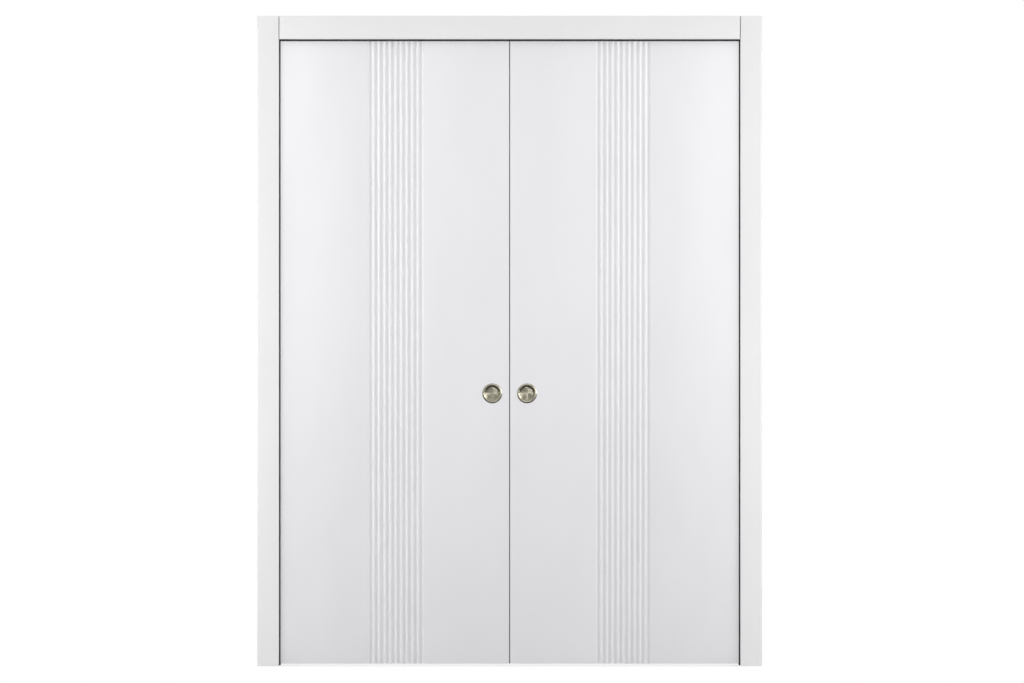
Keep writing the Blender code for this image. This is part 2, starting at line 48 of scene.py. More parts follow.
print("nodes in the frame:", len(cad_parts))

# %% [markdown]
# ## Camera
# The photograph looks straight at the door from far away: upright edges stay upright and the
# leaves' far edges show no depth. An orthographic camera would do that too, but a long lens from
# far off gives the same flat look and still behaves like a real camera in the other views.
# One pixel of the photograph is 3.25 mm on the door, which sets the distance.

# %% Camera
PIXEL = 0.00325
IMAGE_WIDTH = 1024
LENS_MM, SENSOR_MM = 350, 36
CLIP_NEAR, CLIP_FAR = 1, 200
VIEW_CENTRE = Vector((0.0076, -0.040, 1.0546))
distance = IMAGE_WIDTH * PIXEL * LENS_MM / SENSOR_MM
camera = bpy.data.objects.new("camera", bpy.data.cameras.new("camera"))
bpy.context.scene.collection.objects.link(camera)
camera.location = VIEW_CENTRE + Vector((0, -distance, 0))
camera.rotation_euler = (math.radians(90), 0, 0)
camera.data.lens, camera.data.sensor_width = LENS_MM, SENSOR_MM
camera.data.clip_start, camera.data.clip_end = CLIP_NEAR, CLIP_FAR
bpy.context.scene.camera = camera
print(f"camera {distance:.2f} m in front of the door")

# %% [markdown]
# ## Helpers for modelling by hand
# Every piece below is made with the operators that a menu would run: add a primitive, go into edit
# mode, extrude, spin, bevel, come back. Operators act on all that is selected, so each helper first
# clears the selection. Sections, such as a casing's, are drawn by extruding one vertex from corner
# to corner, because then the outline can be read as a list of corners.

# %% Selection and blocks
bpy.context.scene.tool_settings.mesh_select_mode = (True, False, False)


def deselect():
    """Goes to object mode and clears the selection."""
    if bpy.context.mode != "OBJECT":
        bpy.ops.object.mode_set(mode="OBJECT")
    bpy.ops.object.select_all(action="DESELECT")


def only(piece):
    """Selects one piece alone and makes it the active one."""
    deselect()
    piece.select_set(True)
    bpy.context.view_layer.objects.active = piece


def named(name):
    """Names the object that an operator has just made."""
    piece = bpy.context.object
    piece.name = piece.data.name = name
    return piece


def apply_place():
    bpy.ops.object.transform_apply(location=True, rotation=True, scale=True)


def block(name, low, high):
    """A cube stretched between two corners."""
    deselect()
    low, high = Vector(low), Vector(high)
    bpy.ops.mesh.primitive_cube_add(size=1, location=(low + high) / 2)
    piece = named(name)
    piece.scale = high - low
    apply_place()
    return piece


print("helpers ready: deselect, only, named, apply_place, block")

# %% Drawn outlines
SEED_SIZE, MERGE = 0.001, 5e-6


def drawn(name, points):
    """Extrudes one vertex from point to point, and stays in edit mode with the chain selected."""
    deselect()
    bpy.ops.mesh.primitive_plane_add(size=SEED_SIZE, location=points[0])
    piece = named(name)
    apply_place()
    bpy.ops.object.mode_set(mode="EDIT")
    bpy.ops.mesh.select_all(action="SELECT")
    bpy.ops.mesh.merge(type="CENTER")
    for here, there in zip(points, points[1:]):
        step = Vector(there) - Vector(here)
        bpy.ops.mesh.extrude_region_move(TRANSFORM_OT_translate={"value": step})
    bpy.ops.mesh.select_all(action="SELECT")
    return piece


def close_up():
    """Merges doubles, points the faces outwards and leaves edit mode."""
    bpy.ops.mesh.select_all(action="SELECT")
    bpy.ops.mesh.remove_doubles(threshold=MERGE)
    bpy.ops.mesh.normals_make_consistent(inside=False)
    bpy.ops.object.mode_set(mode="OBJECT")


print("helpers ready: drawn, close_up")

# %% Outlines swept straight, or turned
def step_along(axis, length=1.0):
    """A step of the given length along X, Y or Z."""
    return Vector([length * (letter == axis) for letter in "xyz"])


def swept(name, outline, axis, low, high):
    """Fills a closed outline that lies across an axis, and extrudes it from low to high."""
    spot = "xyz".index(axis)
    piece = drawn(name, [(*point[:spot], low, *point[spot:]) for point in outline])
    bpy.ops.mesh.edge_face_add()
    bpy.ops.mesh.extrude_region_move(TRANSFORM_OT_translate={"value": step_along(axis, high - low)})
    close_up()
    return piece


def turned(name, profile, axis, steps):
    """Spins a profile of (radius, height along the axis) round Y or Z, through the origin."""
    points = [Vector((radius, 0, 0)) + step_along(axis, height) for radius, height in profile]
    piece = drawn(name, points)
    bpy.ops.mesh.spin(steps=steps, angle=math.tau, center=(0, 0, 0), axis=step_along(axis))
    close_up()
    return piece


print("helpers ready: step_along, swept, turned")

# %% Arcs and mirrored outlines
def arc(centre, radius, start, end, steps=4):
    """Points along an arc, ends included, with angles in degrees."""
    points = []
    for step in range(steps + 1):
        turn = math.radians(start + (end - start) * step / steps)
        points.append((centre[0] + radius * math.cos(turn), centre[1] + radius * math.sin(turn)))
    return points


def mirrored(points, signs=(-1, 1)):
    """The other half of an outline, in the order that goes on from the first half."""
    return [(x * signs[0], y * signs[1]) for x, y in reversed(points)]


print("corners on a quarter round:", len(arc((0, 0), 1, 0, 90)))

# %% Edges, cuts and moves
PAST = 0.02  # how far a cutting tool reaches past what it cuts


def eased(piece, width, segments=2, angle=40):
    """Rounds every edge that is sharper than the angle."""
    only(piece)
    edge = piece.modifiers.new("eased", "BEVEL")
    edge.width, edge.segments = width, segments
    edge.limit_method, edge.angle_limit = "ANGLE", math.radians(angle)
    bpy.ops.object.modifier_apply(modifier=edge.name)
    return piece


def carved(piece, tool, operation="DIFFERENCE"):
    """Cuts a tool's shape out of a piece, then throws the tool away."""
    only(piece)
    cut = piece.modifiers.new("carved", "BOOLEAN")
    cut.operation, cut.solver, cut.object = operation, "EXACT", tool
    bpy.ops.object.modifier_apply(modifier=cut.name)
    bpy.data.objects.remove(tool)
    return piece


def moved(piece, shift):
    only(piece)
    piece.location = shift
    apply_place()
    return piece


print("helpers ready: eased, carved, moved")

# %% Copies and fitting
SMOOTH_ANGLE = 35
PIECES = {}  # each finished piece, with the body that it rides on


def copied(piece, name, shift=(0, 0, 0), mirror=(1, 1, 1)):
    """A copy with its own mesh, mirrored through the origin's planes and then moved."""
    only(piece)
    bpy.ops.object.duplicate()
    twin = named(name)
    twin.scale, twin.location = mirror, shift
    apply_place()
    if math.prod(mirror) < 0:
        bpy.ops.object.mode_set(mode="EDIT")
        bpy.ops.mesh.select_all(action="SELECT")
        bpy.ops.mesh.normals_make_consistent(inside=False)
        bpy.ops.object.mode_set(mode="OBJECT")
    return twin


def facing(piece, name, side="right", face="front"):
    """The piece itself on the right and in front, and a mirrored copy of it elsewhere."""
    if (side, face) == ("right", "front"):
        return piece
    return copied(piece, name, mirror=(SIDES[side], -FACES[face], 1))


def fitted(piece, body, finish, slot, *nodes):
    """Shades a finished piece, gives it its finish and sets it on a moving body of the frame."""
    PIECES[piece] = body
    only(piece)
    bpy.ops.object.shade_smooth_by_angle(angle=math.radians(SMOOTH_ANGLE))
    if not piece.data.materials:
        piece.data.materials.append(finish)
    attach(piece, body)
    if nodes:
        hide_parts(*nodes)


print("helpers ready: copied, facing, fitted")

# %% [markdown]
# ## Helpers for finishes
# A finish is a small graph of shader nodes. Wiring nodes line by line is hard to read, so a Wire
# wraps one output socket and lets plain maths make the Math nodes: `1 - grain * 0.2` adds two.
# A Graph's `add` method makes any other kind of node, and a Finish is the graph of one material.

# %% Wire
class Wire:
    """One output socket. Maths on it adds Math nodes to its graph."""

    def __init__(self, graph, socket):
        self.graph, self.socket = graph, socket

    def maths(self, operation, *terms):
        terms = dict(enumerate(terms))
        return self.graph.add("ShaderNodeMath", "Value", {"operation": operation}, terms)

    def __add__(self, other):
        return self.maths("ADD", self, other)

    def __sub__(self, other):
        return self.maths("SUBTRACT", self, other)

    def __rsub__(self, other):
        return self.maths("SUBTRACT", other, self)

    def __mul__(self, other):
        return self.maths("MULTIPLY", self, other)

    def __pow__(self, other):
        return self.maths("POWER", self, other)

    __radd__ = __add__
    __rmul__ = __mul__


print("class ready:", Wire.__name__)

# %% Graph
class Graph:
    """A sheet of shader nodes, of a material or of the world."""

    def __init__(self, tree):
        self.tree = tree

    def add(self, kind, output, settings=(), sockets=()):
        """Adds a node, with its settings first, and returns the named output."""
        node = self.tree.nodes.new(kind)
        for key, value in dict(settings).items():
            setattr(node, key, value)
        for key, value in dict(sockets).items():
            self.feed(node.inputs[key], value)
        return Wire(self, node.outputs[output])

    def feed(self, socket, value):
        if isinstance(value, Wire):
            self.tree.links.new(value.socket, socket)
        else:
            socket.default_value = value

    def place(self, scale=(1, 1, 1)):
        """The piece's own coordinates, in metres, stretched."""
        at = self.add("ShaderNodeTexCoord", "Object")
        return self.add("ShaderNodeMapping", 0, {}, {"Vector": at, "Scale": scale})

    def noise(self, at, scale, detail, roughness=0.5):
        values = {"Vector": at, "Scale": scale, "Detail": detail, "Roughness": roughness}
        return self.add("ShaderNodeTexNoise", 0, {}, values)

    def mixed(self, share, first, second):
        """A colour between two colours."""
        settings = {"data_type": "RGBA"}
        return self.add("ShaderNodeMix", 2, settings, {0: share, 6: first, 7: second})

    def between(self, value, low, high):
        """Stretches a value so that low becomes 0 and high becomes 1."""
        return self.add("ShaderNodeMapRange", 0, {}, {0: value, 1: low, 2: high, 3: 0.0, 4: 1.0})

    def mixed_shader(self, share, first, second):
        return self.add("ShaderNodeMixShader", 0, {}, {0: share, 1: first, 2: second})

    def seen(self):
        """1 for what the camera sees, also in a reflection or through glass, and 0 for light."""
        kinds = ("Is Camera Ray", "Is Glossy Ray", "Is Transmission Ray")
        straight, glossy, through = [self.add("ShaderNodeLightPath", kind) for kind in kinds]
        return straight + glossy + through


print("class ready:", Graph.__name__)

# %% Finish
class Finish(Graph):
    """A material made of nodes, round one Principled shader."""

    def __init__(self, name, **constants):
        self.material = bpy.data.materials.new(name)
        self.material.use_nodes = True
        super().__init__(self.material.node_tree)
        self.shader = self.tree.nodes["Principled BSDF"]
        self.wear(**constants)

    def bump(self, height, depth, strength):
        values = {"Height": height, "Distance": depth, "Strength": strength}
        self.feed(self.shader.inputs["Normal"], self.add("ShaderNodeBump", 0, {}, values))

    def wear(self, **feeds):
        """Feeds the shader's own sockets."""
        for socket, value in feeds.items():
            self.feed(self.shader.inputs[socket.replace("_", " ")], value)
        return self.material


print("class ready:", Finish.__name__)

# %% [markdown]
# ## White lacquer
# The leaves and casings are sprayed with a satin white lacquer. A plain white shader would pass from
# far off, but close by it looks like plastic, so two noises give it quiet detail: a faint cloudiness
# in the tone, an orange-peel texture about 2 mm across from the spray gun, and a sheen that is a
# little duller in some places than in others. The leaves' white leans a touch towards violet and the
# casings' is neutral, so one function mixes both.

# %% White lacquer
def make_lacquer(name, dull, bright):
    coat = Finish(name, IOR=1.46, Specular_IOR_Level=0.22)
    cloud = coat.noise(coat.place((1, 1, 0.35)), scale=6.0, detail=3.0)
    peel = coat.noise(coat.place(), scale=420.0, detail=1.5)
    tone = coat.mixed(coat.between(cloud, 0.35, 0.65), dull, bright)
    coat.bump(peel, depth=0.00008, strength=0.35)
    return coat.wear(Base_Color=tone, Roughness=0.46 + cloud * 0.1)


LEAF_WHITE = make_lacquer("leaf_lacquer", (0.792, 0.785, 0.804, 1), (0.809, 0.801, 0.817, 1))
CASING_WHITE = make_lacquer("casing_lacquer", (0.792, 0.789, 0.793, 1), (0.809, 0.805, 0.806, 1))
print("finishes:", LEAF_WHITE.name, CASING_WHITE.name)

# %% [markdown]
# ## Satin nickel
# The pulls are turned on a lathe and plated. The cutter leaves fine rings round each pull's centre,
# and these spread every highlight into a band across the cup. Rings less than a millimetre apart
# would take far too many faces to model, so a sine of the distance from the centre bumps the shading
# instead. All four pulls stand at the same distance from the middle of the door, so the absolute
# value of X puts one set of rings on each.

# %% Satin nickel
PULL_X, PULL_Z = 0.0565, 0.886
RING_WAVES = 9000.0  # radians a metre, which is a ring every 0.7 mm


def make_nickel(dull, bright):
    metal = Finish("satin_nickel", Metallic=1.0)
    at = metal.place()
    x, z = [metal.add("ShaderNodeSeparateXYZ", axis, {}, {0: at}) for axis in "XZ"]
    across, up = x.maths("ABSOLUTE", x) - PULL_X, z - PULL_Z
    radius = (across * across + up * up) ** 0.5
    rings = radius.maths("SINE", radius * RING_WAVES)
    fine = metal.noise(at, scale=900.0, detail=2.0)
    rub = metal.noise(at, scale=60.0, detail=3.0)
    tone = metal.mixed(metal.between(rub, 0.3, 0.7), dull, bright)
    metal.bump(rings + fine * 0.6, depth=0.00006, strength=0.7)
    return metal.wear(Base_Color=tone, Roughness=0.17 + rub * 0.1)


SATIN_NICKEL = make_nickel((0.318, 0.30, 0.236, 1), (0.39, 0.37, 0.292, 1))
print("finish:", SATIN_NICKEL.name)

# %% [markdown]
# ## Zinc-plated steel and mill aluminium
# The hangers are zinc plated: a cool grey with a fine cloudy crystal in it. The rail is aluminium
# as it leaves the extrusion die, so thin streaks run along its length. A picture of the metal could
# be laid on, but it needs a file and shows its seams, so Blender's own textures make both. The
# streaks are a noise whose coordinates are squeezed on X, which draws its grains out into lines.

# %% Zinc-plated steel and mill aluminium
def make_zinc(dark, light):
    metal = Finish("zinc_steel", Metallic=1.0)
    at = metal.place()
    crystal = metal.add("ShaderNodeTexVoronoi", "Distance", {}, {"Vector": at, "Scale": 700.0})
    cloud = metal.noise(at, scale=90.0, detail=3.0)
    metal.bump(crystal + cloud, depth=0.00002, strength=0.4)
    return metal.wear(Base_Color=metal.mixed(crystal, dark, light), Roughness=0.28 + cloud * 0.22)


def make_aluminium(dark, light):
    metal = Finish("mill_aluminium", Metallic=1.0)
    streak = metal.noise(metal.place((0.6, 260, 260)), scale=5.0, detail=4.0)
    cloud = metal.noise(metal.place(), scale=14.0, detail=3.0)
    metal.bump(streak, depth=0.00004, strength=0.5)
    dullness = 0.25 + streak * 0.15 + cloud * 0.1
    return metal.wear(Base_Color=metal.mixed(streak, dark, light), Roughness=dullness)


ZINC_STEEL = make_zinc((0.45, 0.465, 0.49, 1), (0.58, 0.585, 0.595, 1))
MILL_ALUMINIUM = make_aluminium((0.46, 0.47, 0.485, 1), (0.60, 0.605, 0.61, 1))
print("finishes:", ZINC_STEEL.name, MILL_ALUMINIUM.name)

# %% [markdown]
# ## Pine, nylon and rubber
# The header board and the leaves' cores are planed softwood. Its growth rings show on a face as
# long lines. A wave texture would draw them too evenly, so a noise is stretched along the board and
# a wider one makes the lines wander. The wheels and floor guides are moulded nylon, off-white and
# slightly mottled. The seals and buffers are black rubber with a bloom of dust on them. Nylon and
# rubber have much the same kind of skin, so one function makes both.

# %% Pine
def make_pine(name, along, early, late):
    wood = Finish(name)

    def grain(lengthways, across, detail, roughness=0.5):
        stretch = [lengthways if axis == along else across for axis in "xyz"]
        return wood.noise(wood.place(stretch), 1.0, detail, roughness)

    wander = grain(0.3, 6.0, detail=3.0)
    ring = grain(3.0, 60.0, detail=4.0, roughness=0.6)
    fibre = grain(8.0, 900.0, detail=2.0)
    lateness = wood.between(ring + wander * 0.3 + fibre * 0.3, 0.62, 1.02)
    wood.bump(fibre + lateness * 0.6, depth=0.0001, strength=0.5)
    return wood.wear(Base_Color=wood.mixed(lateness, early, late), Roughness=0.72 - lateness * 0.15)


PINE_TONES = (0.74, 0.575, 0.385, 1), (0.585, 0.385, 0.205, 1)
HEADER_PINE = make_pine("pine_lengthways", "x", *PINE_TONES)
CORE_PINE = make_pine("pine_upright", "z", *PINE_TONES)
print("finishes:", HEADER_PINE.name, CORE_PINE.name)

# %% Nylon and rubber
def make_moulded(name, dark, light, roughness, grain):
    cast = Finish(name)
    mottle = cast.noise(cast.place(), scale=45.0, detail=3.0)
    skin = cast.noise(cast.place(), scale=grain, detail=2.0)
    cast.bump(skin, depth=0.00005, strength=0.5)
    tone = cast.mixed(cast.between(mottle, 0.3, 0.7), dark, light)
    return cast.wear(Base_Color=tone, Roughness=roughness + mottle * 0.12)


NYLON_TONES = (0.76, 0.75, 0.70, 1), (0.84, 0.83, 0.79, 1)
RUBBER_TONES = (0.022, 0.022, 0.022, 1), (0.040, 0.039, 0.038, 1)
NYLON = make_moulded("nylon", *NYLON_TONES, roughness=0.38, grain=700.0)
RUBBER = make_moulded("dark_seal", *RUBBER_TONES, roughness=0.74, grain=1500.0)
print("finishes:", NYLON.name, RUBBER.name)

# %% [markdown]
# ## Leaf faces
# Each leaf has a routed board on either side of its core. Ten flutes run down it from top to
# bottom, cut with a round-nosed bit. One could cut them with ten cylinders, but drawing the section
# once and sweeping it up keeps the mesh clean: only long, straight faces. The edges of each flute
# are then softened, as sanding and lacquer do, and the hole for the pull is bored.

# %% Section of a leaf face
LEAD, TRAIL = 0.0015, 0.7635
FACE_Y, BACK_Y = -0.020, -0.0123
LEAF_LOW, LEAF_HIGH = 0.007, 2.039
FLUTES, PITCH, FLUTE_WIDTH, FLUTE_DEPTH = 10, 0.018, 0.015, 0.0040
BAND_IN, FLUTE_STEPS, CORNER = 0.368, 14, 0.0007
first_flute = LEAD + BAND_IN - PITCH * (FLUTES - 1) / 2
flute_radius = (FLUTE_WIDTH**2 / 4 + FLUTE_DEPTH**2) / (2 * FLUTE_DEPTH)
flute_spread = math.degrees(math.asin(FLUTE_WIDTH / 2 / flute_radius))


def face_section():
    outline = [(LEAD, BACK_Y)] + arc((LEAD + CORNER, FACE_Y + CORNER), CORNER, 180, 270)
    for number in range(FLUTES):
        centre = (first_flute + number * PITCH, FACE_Y - flute_radius + FLUTE_DEPTH)
        outline += arc(centre, flute_radius, 90 + flute_spread, 90 - flute_spread, FLUTE_STEPS)
    return outline + arc((TRAIL - CORNER, FACE_Y + CORNER), CORNER, 270, 360) + [(TRAIL, BACK_Y)]


leaf_face = swept("right_front_face", face_section(), "z", LEAF_LOW, LEAF_HIGH)
print("corners in the section of a face:", len(face_section()))

# %% Soften the flutes' edges
FLUTE_EDGE, NEAR = 0.0004, 1e-5


def bevelled(piece, wanted, width, segments):
    """Bevels only the wanted edges, which are known by the places of their two ends."""
    only(piece)
    bpy.ops.object.mode_set(mode="EDIT")
    bpy.ops.mesh.select_mode(type="EDGE")
    bpy.ops.mesh.select_all(action="DESELECT")
    bpy.ops.object.mode_set(mode="OBJECT")
    for edge in piece.data.edges:
        ends = [piece.data.vertices[number].co for number in edge.vertices]
        edge.select = wanted(*ends)
    bpy.ops.object.mode_set(mode="EDIT")
    bpy.ops.mesh.bevel(offset=width, segments=segments)
    bpy.ops.mesh.select_mode(type="VERT")
    bpy.ops.object.mode_set(mode="OBJECT")


def is_flute_edge(start, end):
    upright = abs(start.z - end.z) > LEAF_HIGH / 2
    from_middle = (start.x - first_flute + PITCH / 2) % PITCH - PITCH / 2
    at_border = abs(abs(from_middle) - FLUTE_WIDTH / 2) < NEAR
    return upright and at_border and abs(start.y - FACE_Y) < NEAR


bevelled(leaf_face, is_flute_edge, FLUTE_EDGE, segments=2)
print("faces with the flutes' edges softened:", len(leaf_face.data.polygons))

# %% Bore for the pull, and fit four leaf faces
PULL_BORE = 0.0250


def bore(radius, low, high, axis, shift=(0, 0, 0), steps=32):
    """A round bar to drill with."""
    profile = [(0, low), (radius, low), (radius, high), (0, high)]
    return moved(turned("bore", profile, axis, steps), shift)


carved(leaf_face, bore(PULL_BORE, FACE_Y - PAST, BACK_Y + PAST, "y", (PULL_X, 0, PULL_Z), 64))
for side in SIDES:
    for face in FACES:
        board = facing(leaf_face, f"{side}_{face}_face", side, face)
        fitted(board, f"{side}_leaf", LEAF_WHITE, "white_lacquer", f"{side}_{face}_skin")
print("leaf faces fitted, each of", len(leaf_face.data.polygons), "faces")

# %% [markdown]
# ## Leaf cores
# Between its two faces a leaf is softwood. Its upright edges are lacquered with the faces, and its
# top and bottom stay bare, because nobody sees them once the door hangs. A groove in the bottom runs
# over the floor guide's fin, and round mortises in the top take the bolts' heads. The left core has
# a saw kerf in its leading edge as well, for the rubber strip where the leaves meet. These cuts run
# in three directions, so no one outline could be swept into the shape: a block is cut with one tool
# after another, as in the workshop.

# %% Model a leaf core
CORE_Y, CORE_EDGE, POCKET_Y = 0.012, 0.0004, 0.0085
GROOVE_HALF, GROOVE_TOP = 0.00325, 0.021
KERF_HALF, KERF_DEEP = 0.0018, 0.0053
HANGER_X = {"inner": 0.0615, "outer": 0.7035}
MORTISE_RADIUS, MORTISE_FLOOR = 0.0090, 2.0322


def make_core(side):
    """Models a right core, and mirrors it to its side."""
    model = block("core", (LEAD, -CORE_Y, LEAF_LOW), (TRAIL, CORE_Y, LEAF_HIGH))
    eased(model, CORE_EDGE, segments=1)
    low, high = (LEAD - PAST, -GROOVE_HALF, LEAF_LOW - PAST), (TRAIL + PAST, GROOVE_HALF, GROOVE_TOP)
    carved(model, block("groove", low, high))
    for y in FACES.values():
        low, high = sorted((y * POCKET_Y, y * (CORE_Y + PAST)))
        carved(model, bore(PULL_BORE, low, high, "y", (PULL_X, 0, PULL_Z), 64))
    for x in HANGER_X.values():
        carved(model, bore(MORTISE_RADIUS, MORTISE_FLOOR, LEAF_HIGH + PAST, "z", (x, 0, 0), 40))
    if side == "left":
        low = (LEAD - PAST, -KERF_HALF, LEAF_LOW - PAST)
        carved(model, block("kerf", low, (LEAD + KERF_DEEP, KERF_HALF, LEAF_HIGH + PAST)))
    core = copied(model, f"{side}_leaf_core", mirror=(SIDES[side], 1, 1))
    bpy.data.objects.remove(model)
    return core


print(f"a core is {TRAIL - LEAD:.3f} m wide and {LEAF_HIGH - LEAF_LOW:.3f} m high")

# %% Fit two leaf cores, with lacquered edges
SIDEWAYS, EDGE_NEAR = 0.7, 0.001


def edge_is_lacquered(polygon):
    """True on the two upright edges, which face along X."""
    from_edge = min(abs(abs(polygon.center.x) - edge) for edge in (LEAD, TRAIL))
    return abs(polygon.normal.x) > SIDEWAYS and from_edge < EDGE_NEAR


for side in SIDES:
    core = make_core(side)
    core.data.materials.append(CORE_PINE)
    core.data.materials.append(LEAF_WHITE)
    for polygon in core.data.polygons:
        polygon.material_index = int(edge_is_lacquered(polygon))
    fitted(core, f"{side}_leaf", CORE_PINE, "pine", f"{side}_core")
print("leaf cores fitted")

# %% [markdown]
# ## Meeting buffer
# A rubber strip is pressed into a kerf in the left leaf's meeting edge. Its nose has three ribs,
# which close the gap softly and show as the dark line down the middle of the door. A barb on its
# tongue keeps it in the kerf. Ribs and barb could be joined on to a bar, but the real strip comes
# out of a die as one, so one outline is drawn and swept up.

# %% Meeting buffer
NOSE_X, SEAT_X, KERF_X = 0.00145, -0.0012, -0.0065
NOSE_HALF, NOSE_STEP, RIBS, RIB_RADIUS = 0.004, 0.0003, 3, 0.0008
BARB_FRONT, BARB_NOTCH, BARB_BACK = -0.0030, -0.0034, -0.0050
BARB_HALF, NOTCH_HALF, ROOT_HALF, TIP_HALF = 0.0015, 0.00105, 0.0012, 0.0009


def buffer_section():
    ribs = []
    for number in range(RIBS):
        middle = -NOSE_HALF + NOSE_HALF * (2 * number + 1) / RIBS
        ribs += arc((NOSE_X - RIB_RADIUS, middle), RIB_RADIUS, -90, 90, 6)
    upper = [(SEAT_X, NOSE_HALF - NOSE_STEP), (SEAT_X, ROOT_HALF), (BARB_FRONT, BARB_HALF)]
    upper += [(BARB_NOTCH, NOTCH_HALF), (BARB_BACK, BARB_HALF), (KERF_X, TIP_HALF)]
    return ribs + upper + mirrored(upper, (1, -1))


buffer = swept("meeting_strip", buffer_section(), "z", LEAF_LOW, LEAF_HIGH)
fitted(buffer, "left_leaf", RUBBER, "dark_seal", "meeting_buffer")
print("meeting strip:", len(buffer.data.polygons), "faces")

# %% [markdown]
# ## Flush pulls
# A pull is a shallow cup with a rolled rim, turned from one blank. Stacked cylinders would leave hard
# steps in it, so half a section is drawn as one line and spun round, as on the lathe. The rim is
# rounded over like a ring, and the cup's floor is a low dome with turned rings, which meets the wall
# in a cove.

# %% Flush pulls
RIM_OUT, CUP_RADIUS, CUP_WALL = 0.0325, 0.0235, 0.0012
RIM_HIGH, RIM_FOOT, RIM_UNDER, RIM_STEPS = 0.0024, 0.0006, 0.0003, 12
CUP_DEPTH, COVE, DOME = 0.010, 0.004, 0.0022
RINGS, RING_STEPS, RING_HIGH = 14, 8, 0.00014


def pull_profile():
    """From the middle of the floor up the wall, over the rim and back behind the cup."""
    floor, back = -CUP_DEPTH, CUP_RADIUS + CUP_WALL
    profile = []
    for step in range(RINGS * RING_STEPS):
        out = step / (RINGS * RING_STEPS)
        wave = 0.5 - 0.5 * math.cos(math.tau * step / RING_STEPS)
        profile.append(((CUP_RADIUS - COVE) * out, floor + DOME * (1 - out**2) + RING_HIGH * wave))
    profile += arc((CUP_RADIUS - COVE, floor + COVE), COVE, 270, 360, 10)
    middle = (CUP_RADIUS + RIM_OUT) / 2
    for step in range(-RIM_STEPS, RIM_STEPS + 1):
        out = step / RIM_STEPS
        profile.append((middle + (RIM_OUT - middle) * out, RIM_HIGH - (RIM_HIGH - RIM_FOOT) * out**2))
    profile += [(RIM_OUT, RIM_UNDER), (back, RIM_UNDER)]
    profile += arc((back - COVE, floor - CUP_WALL + COVE), COVE, 0, -90, 8) + [(0, floor - CUP_WALL)]
    return [(radius, -high) for radius, high in profile]


pull = turned("pull", pull_profile(), "y", 96)
for side, x in SIDES.items():
    for face, y in FACES.items():
        place = (x * PULL_X, y * -FACE_Y, PULL_Z)
        made = copied(pull, f"{side}_{face}_flush_pull", place, (1, -y, 1))
        fitted(made, f"{side}_leaf", SATIN_NICKEL, "satin_nickel", f"{side}_{face}_pull")
print("faces on a pull:", len(pull.data.polygons))
bpy.data.objects.remove(pull)

# %% [markdown]
# ## Casings and jambs
# Casings cover the joint between wall and jamb on both sides of the wall. The legs run to the top
# and the head fits between them, a little thinner and with a hairline gap at each end, so the joint
# reads as a fine shadow. A tongue on the back of each casing plugs into a groove in the jamb, which
# lets it slide in and out to suit the wall. The legs' outer edges are well rounded and the other
# edges only sanded. Bars with tongues joined on and grooves cut out would do, but one drawn outline
# holds tongue or groove and rounding at once. So all of these are swept: uprights up, and heads and
# lintels across.

# %% Casings
OPENING, OPENING_TOP, DOOR_TOP = 0.750, 2.037, 2.112
WALL_FACE, SEAT, ARRIS = 0.057, 0.0003, 0.0012
LEG_WIDTH, LEG_THICK, LEG_ROUND = 0.070, 0.016, 0.008
HEAD_WIDTH, HEAD_THICK, HEAD_EDGE, HEAD_JOINT = 0.075, 0.013, 0.0006, 0.0020
TONGUE_IN, TONGUE_OUT, TONGUE_DEEP = 0.007, 0.013, 0.010
casing_seat = -WALL_FACE - SEAT


def casing_section(width, thick, outer, steps=4):
    """From the inner edge outwards, and from the wall outwards."""
    section = [(0, 0), (TONGUE_IN, 0), (TONGUE_IN, -TONGUE_DEEP), (TONGUE_OUT, -TONGUE_DEEP)]
    section += [(TONGUE_OUT, 0), (width, 0)]
    section += arc((width - outer, thick - outer), outer, 0, 90, steps)
    return section + arc((ARRIS, thick - ARRIS), ARRIS, 90, 180)


def fit_round(across, across_name, upright, upright_name, node):
    """Fits a piece over the opening and one on each side of it, in front and behind."""
    for face in FACES:
        made = facing(across, f"{face}_{across_name}", face=face)
        fitted(made, "frame", CASING_WHITE, "white_lacquer", f"{face}_head_{node}")
        for side in SIDES:
            made = facing(upright, f"{side}_{face}_{upright_name}", side, face)
            fitted(made, "frame", CASING_WHITE, "white_lacquer", f"{face}_{side}_{node}")


leg_plan = casing_section(LEG_WIDTH, LEG_THICK, LEG_ROUND, 12)
leg_plan = [(OPENING + across, casing_seat - out) for across, out in leg_plan]
leg = swept("right_front_leg", leg_plan, "z", 0, DOOR_TOP)
head_plan = casing_section(HEAD_WIDTH, HEAD_THICK, ARRIS)
head_plan = [(casing_seat - out, OPENING_TOP + up) for up, out in head_plan]
head = swept("front_head_board", head_plan, "x", HEAD_JOINT - OPENING, OPENING - HEAD_JOINT)
eased(head, HEAD_EDGE, angle=60)
fit_round(head, "head_board", leg, "leg", "casing")
print("casing legs and heads fitted")

# %% Jambs
SLOT, JAMB_THICK, JAMB_HIGH = 0.026, 0.020, 2.096
BOARD_IN, LIP_HIGH = 0.038, 0.018


def jamb_section(outer_corners):
    """From the wall's face, with the casing's groove, round to the slot that the leaf slides in."""
    floor = WALL_FACE - TONGUE_DEEP - SEAT
    start, end = TONGUE_IN - SEAT, TONGUE_OUT + SEAT
    section = arc((ARRIS, WALL_FACE - ARRIS), ARRIS, 180, 90)
    section += [(start, WALL_FACE), (start, floor), (end, floor), (end, WALL_FACE)]
    return section + outer_corners + arc((ARRIS, SLOT + ARRIS), ARRIS, 270, 180)


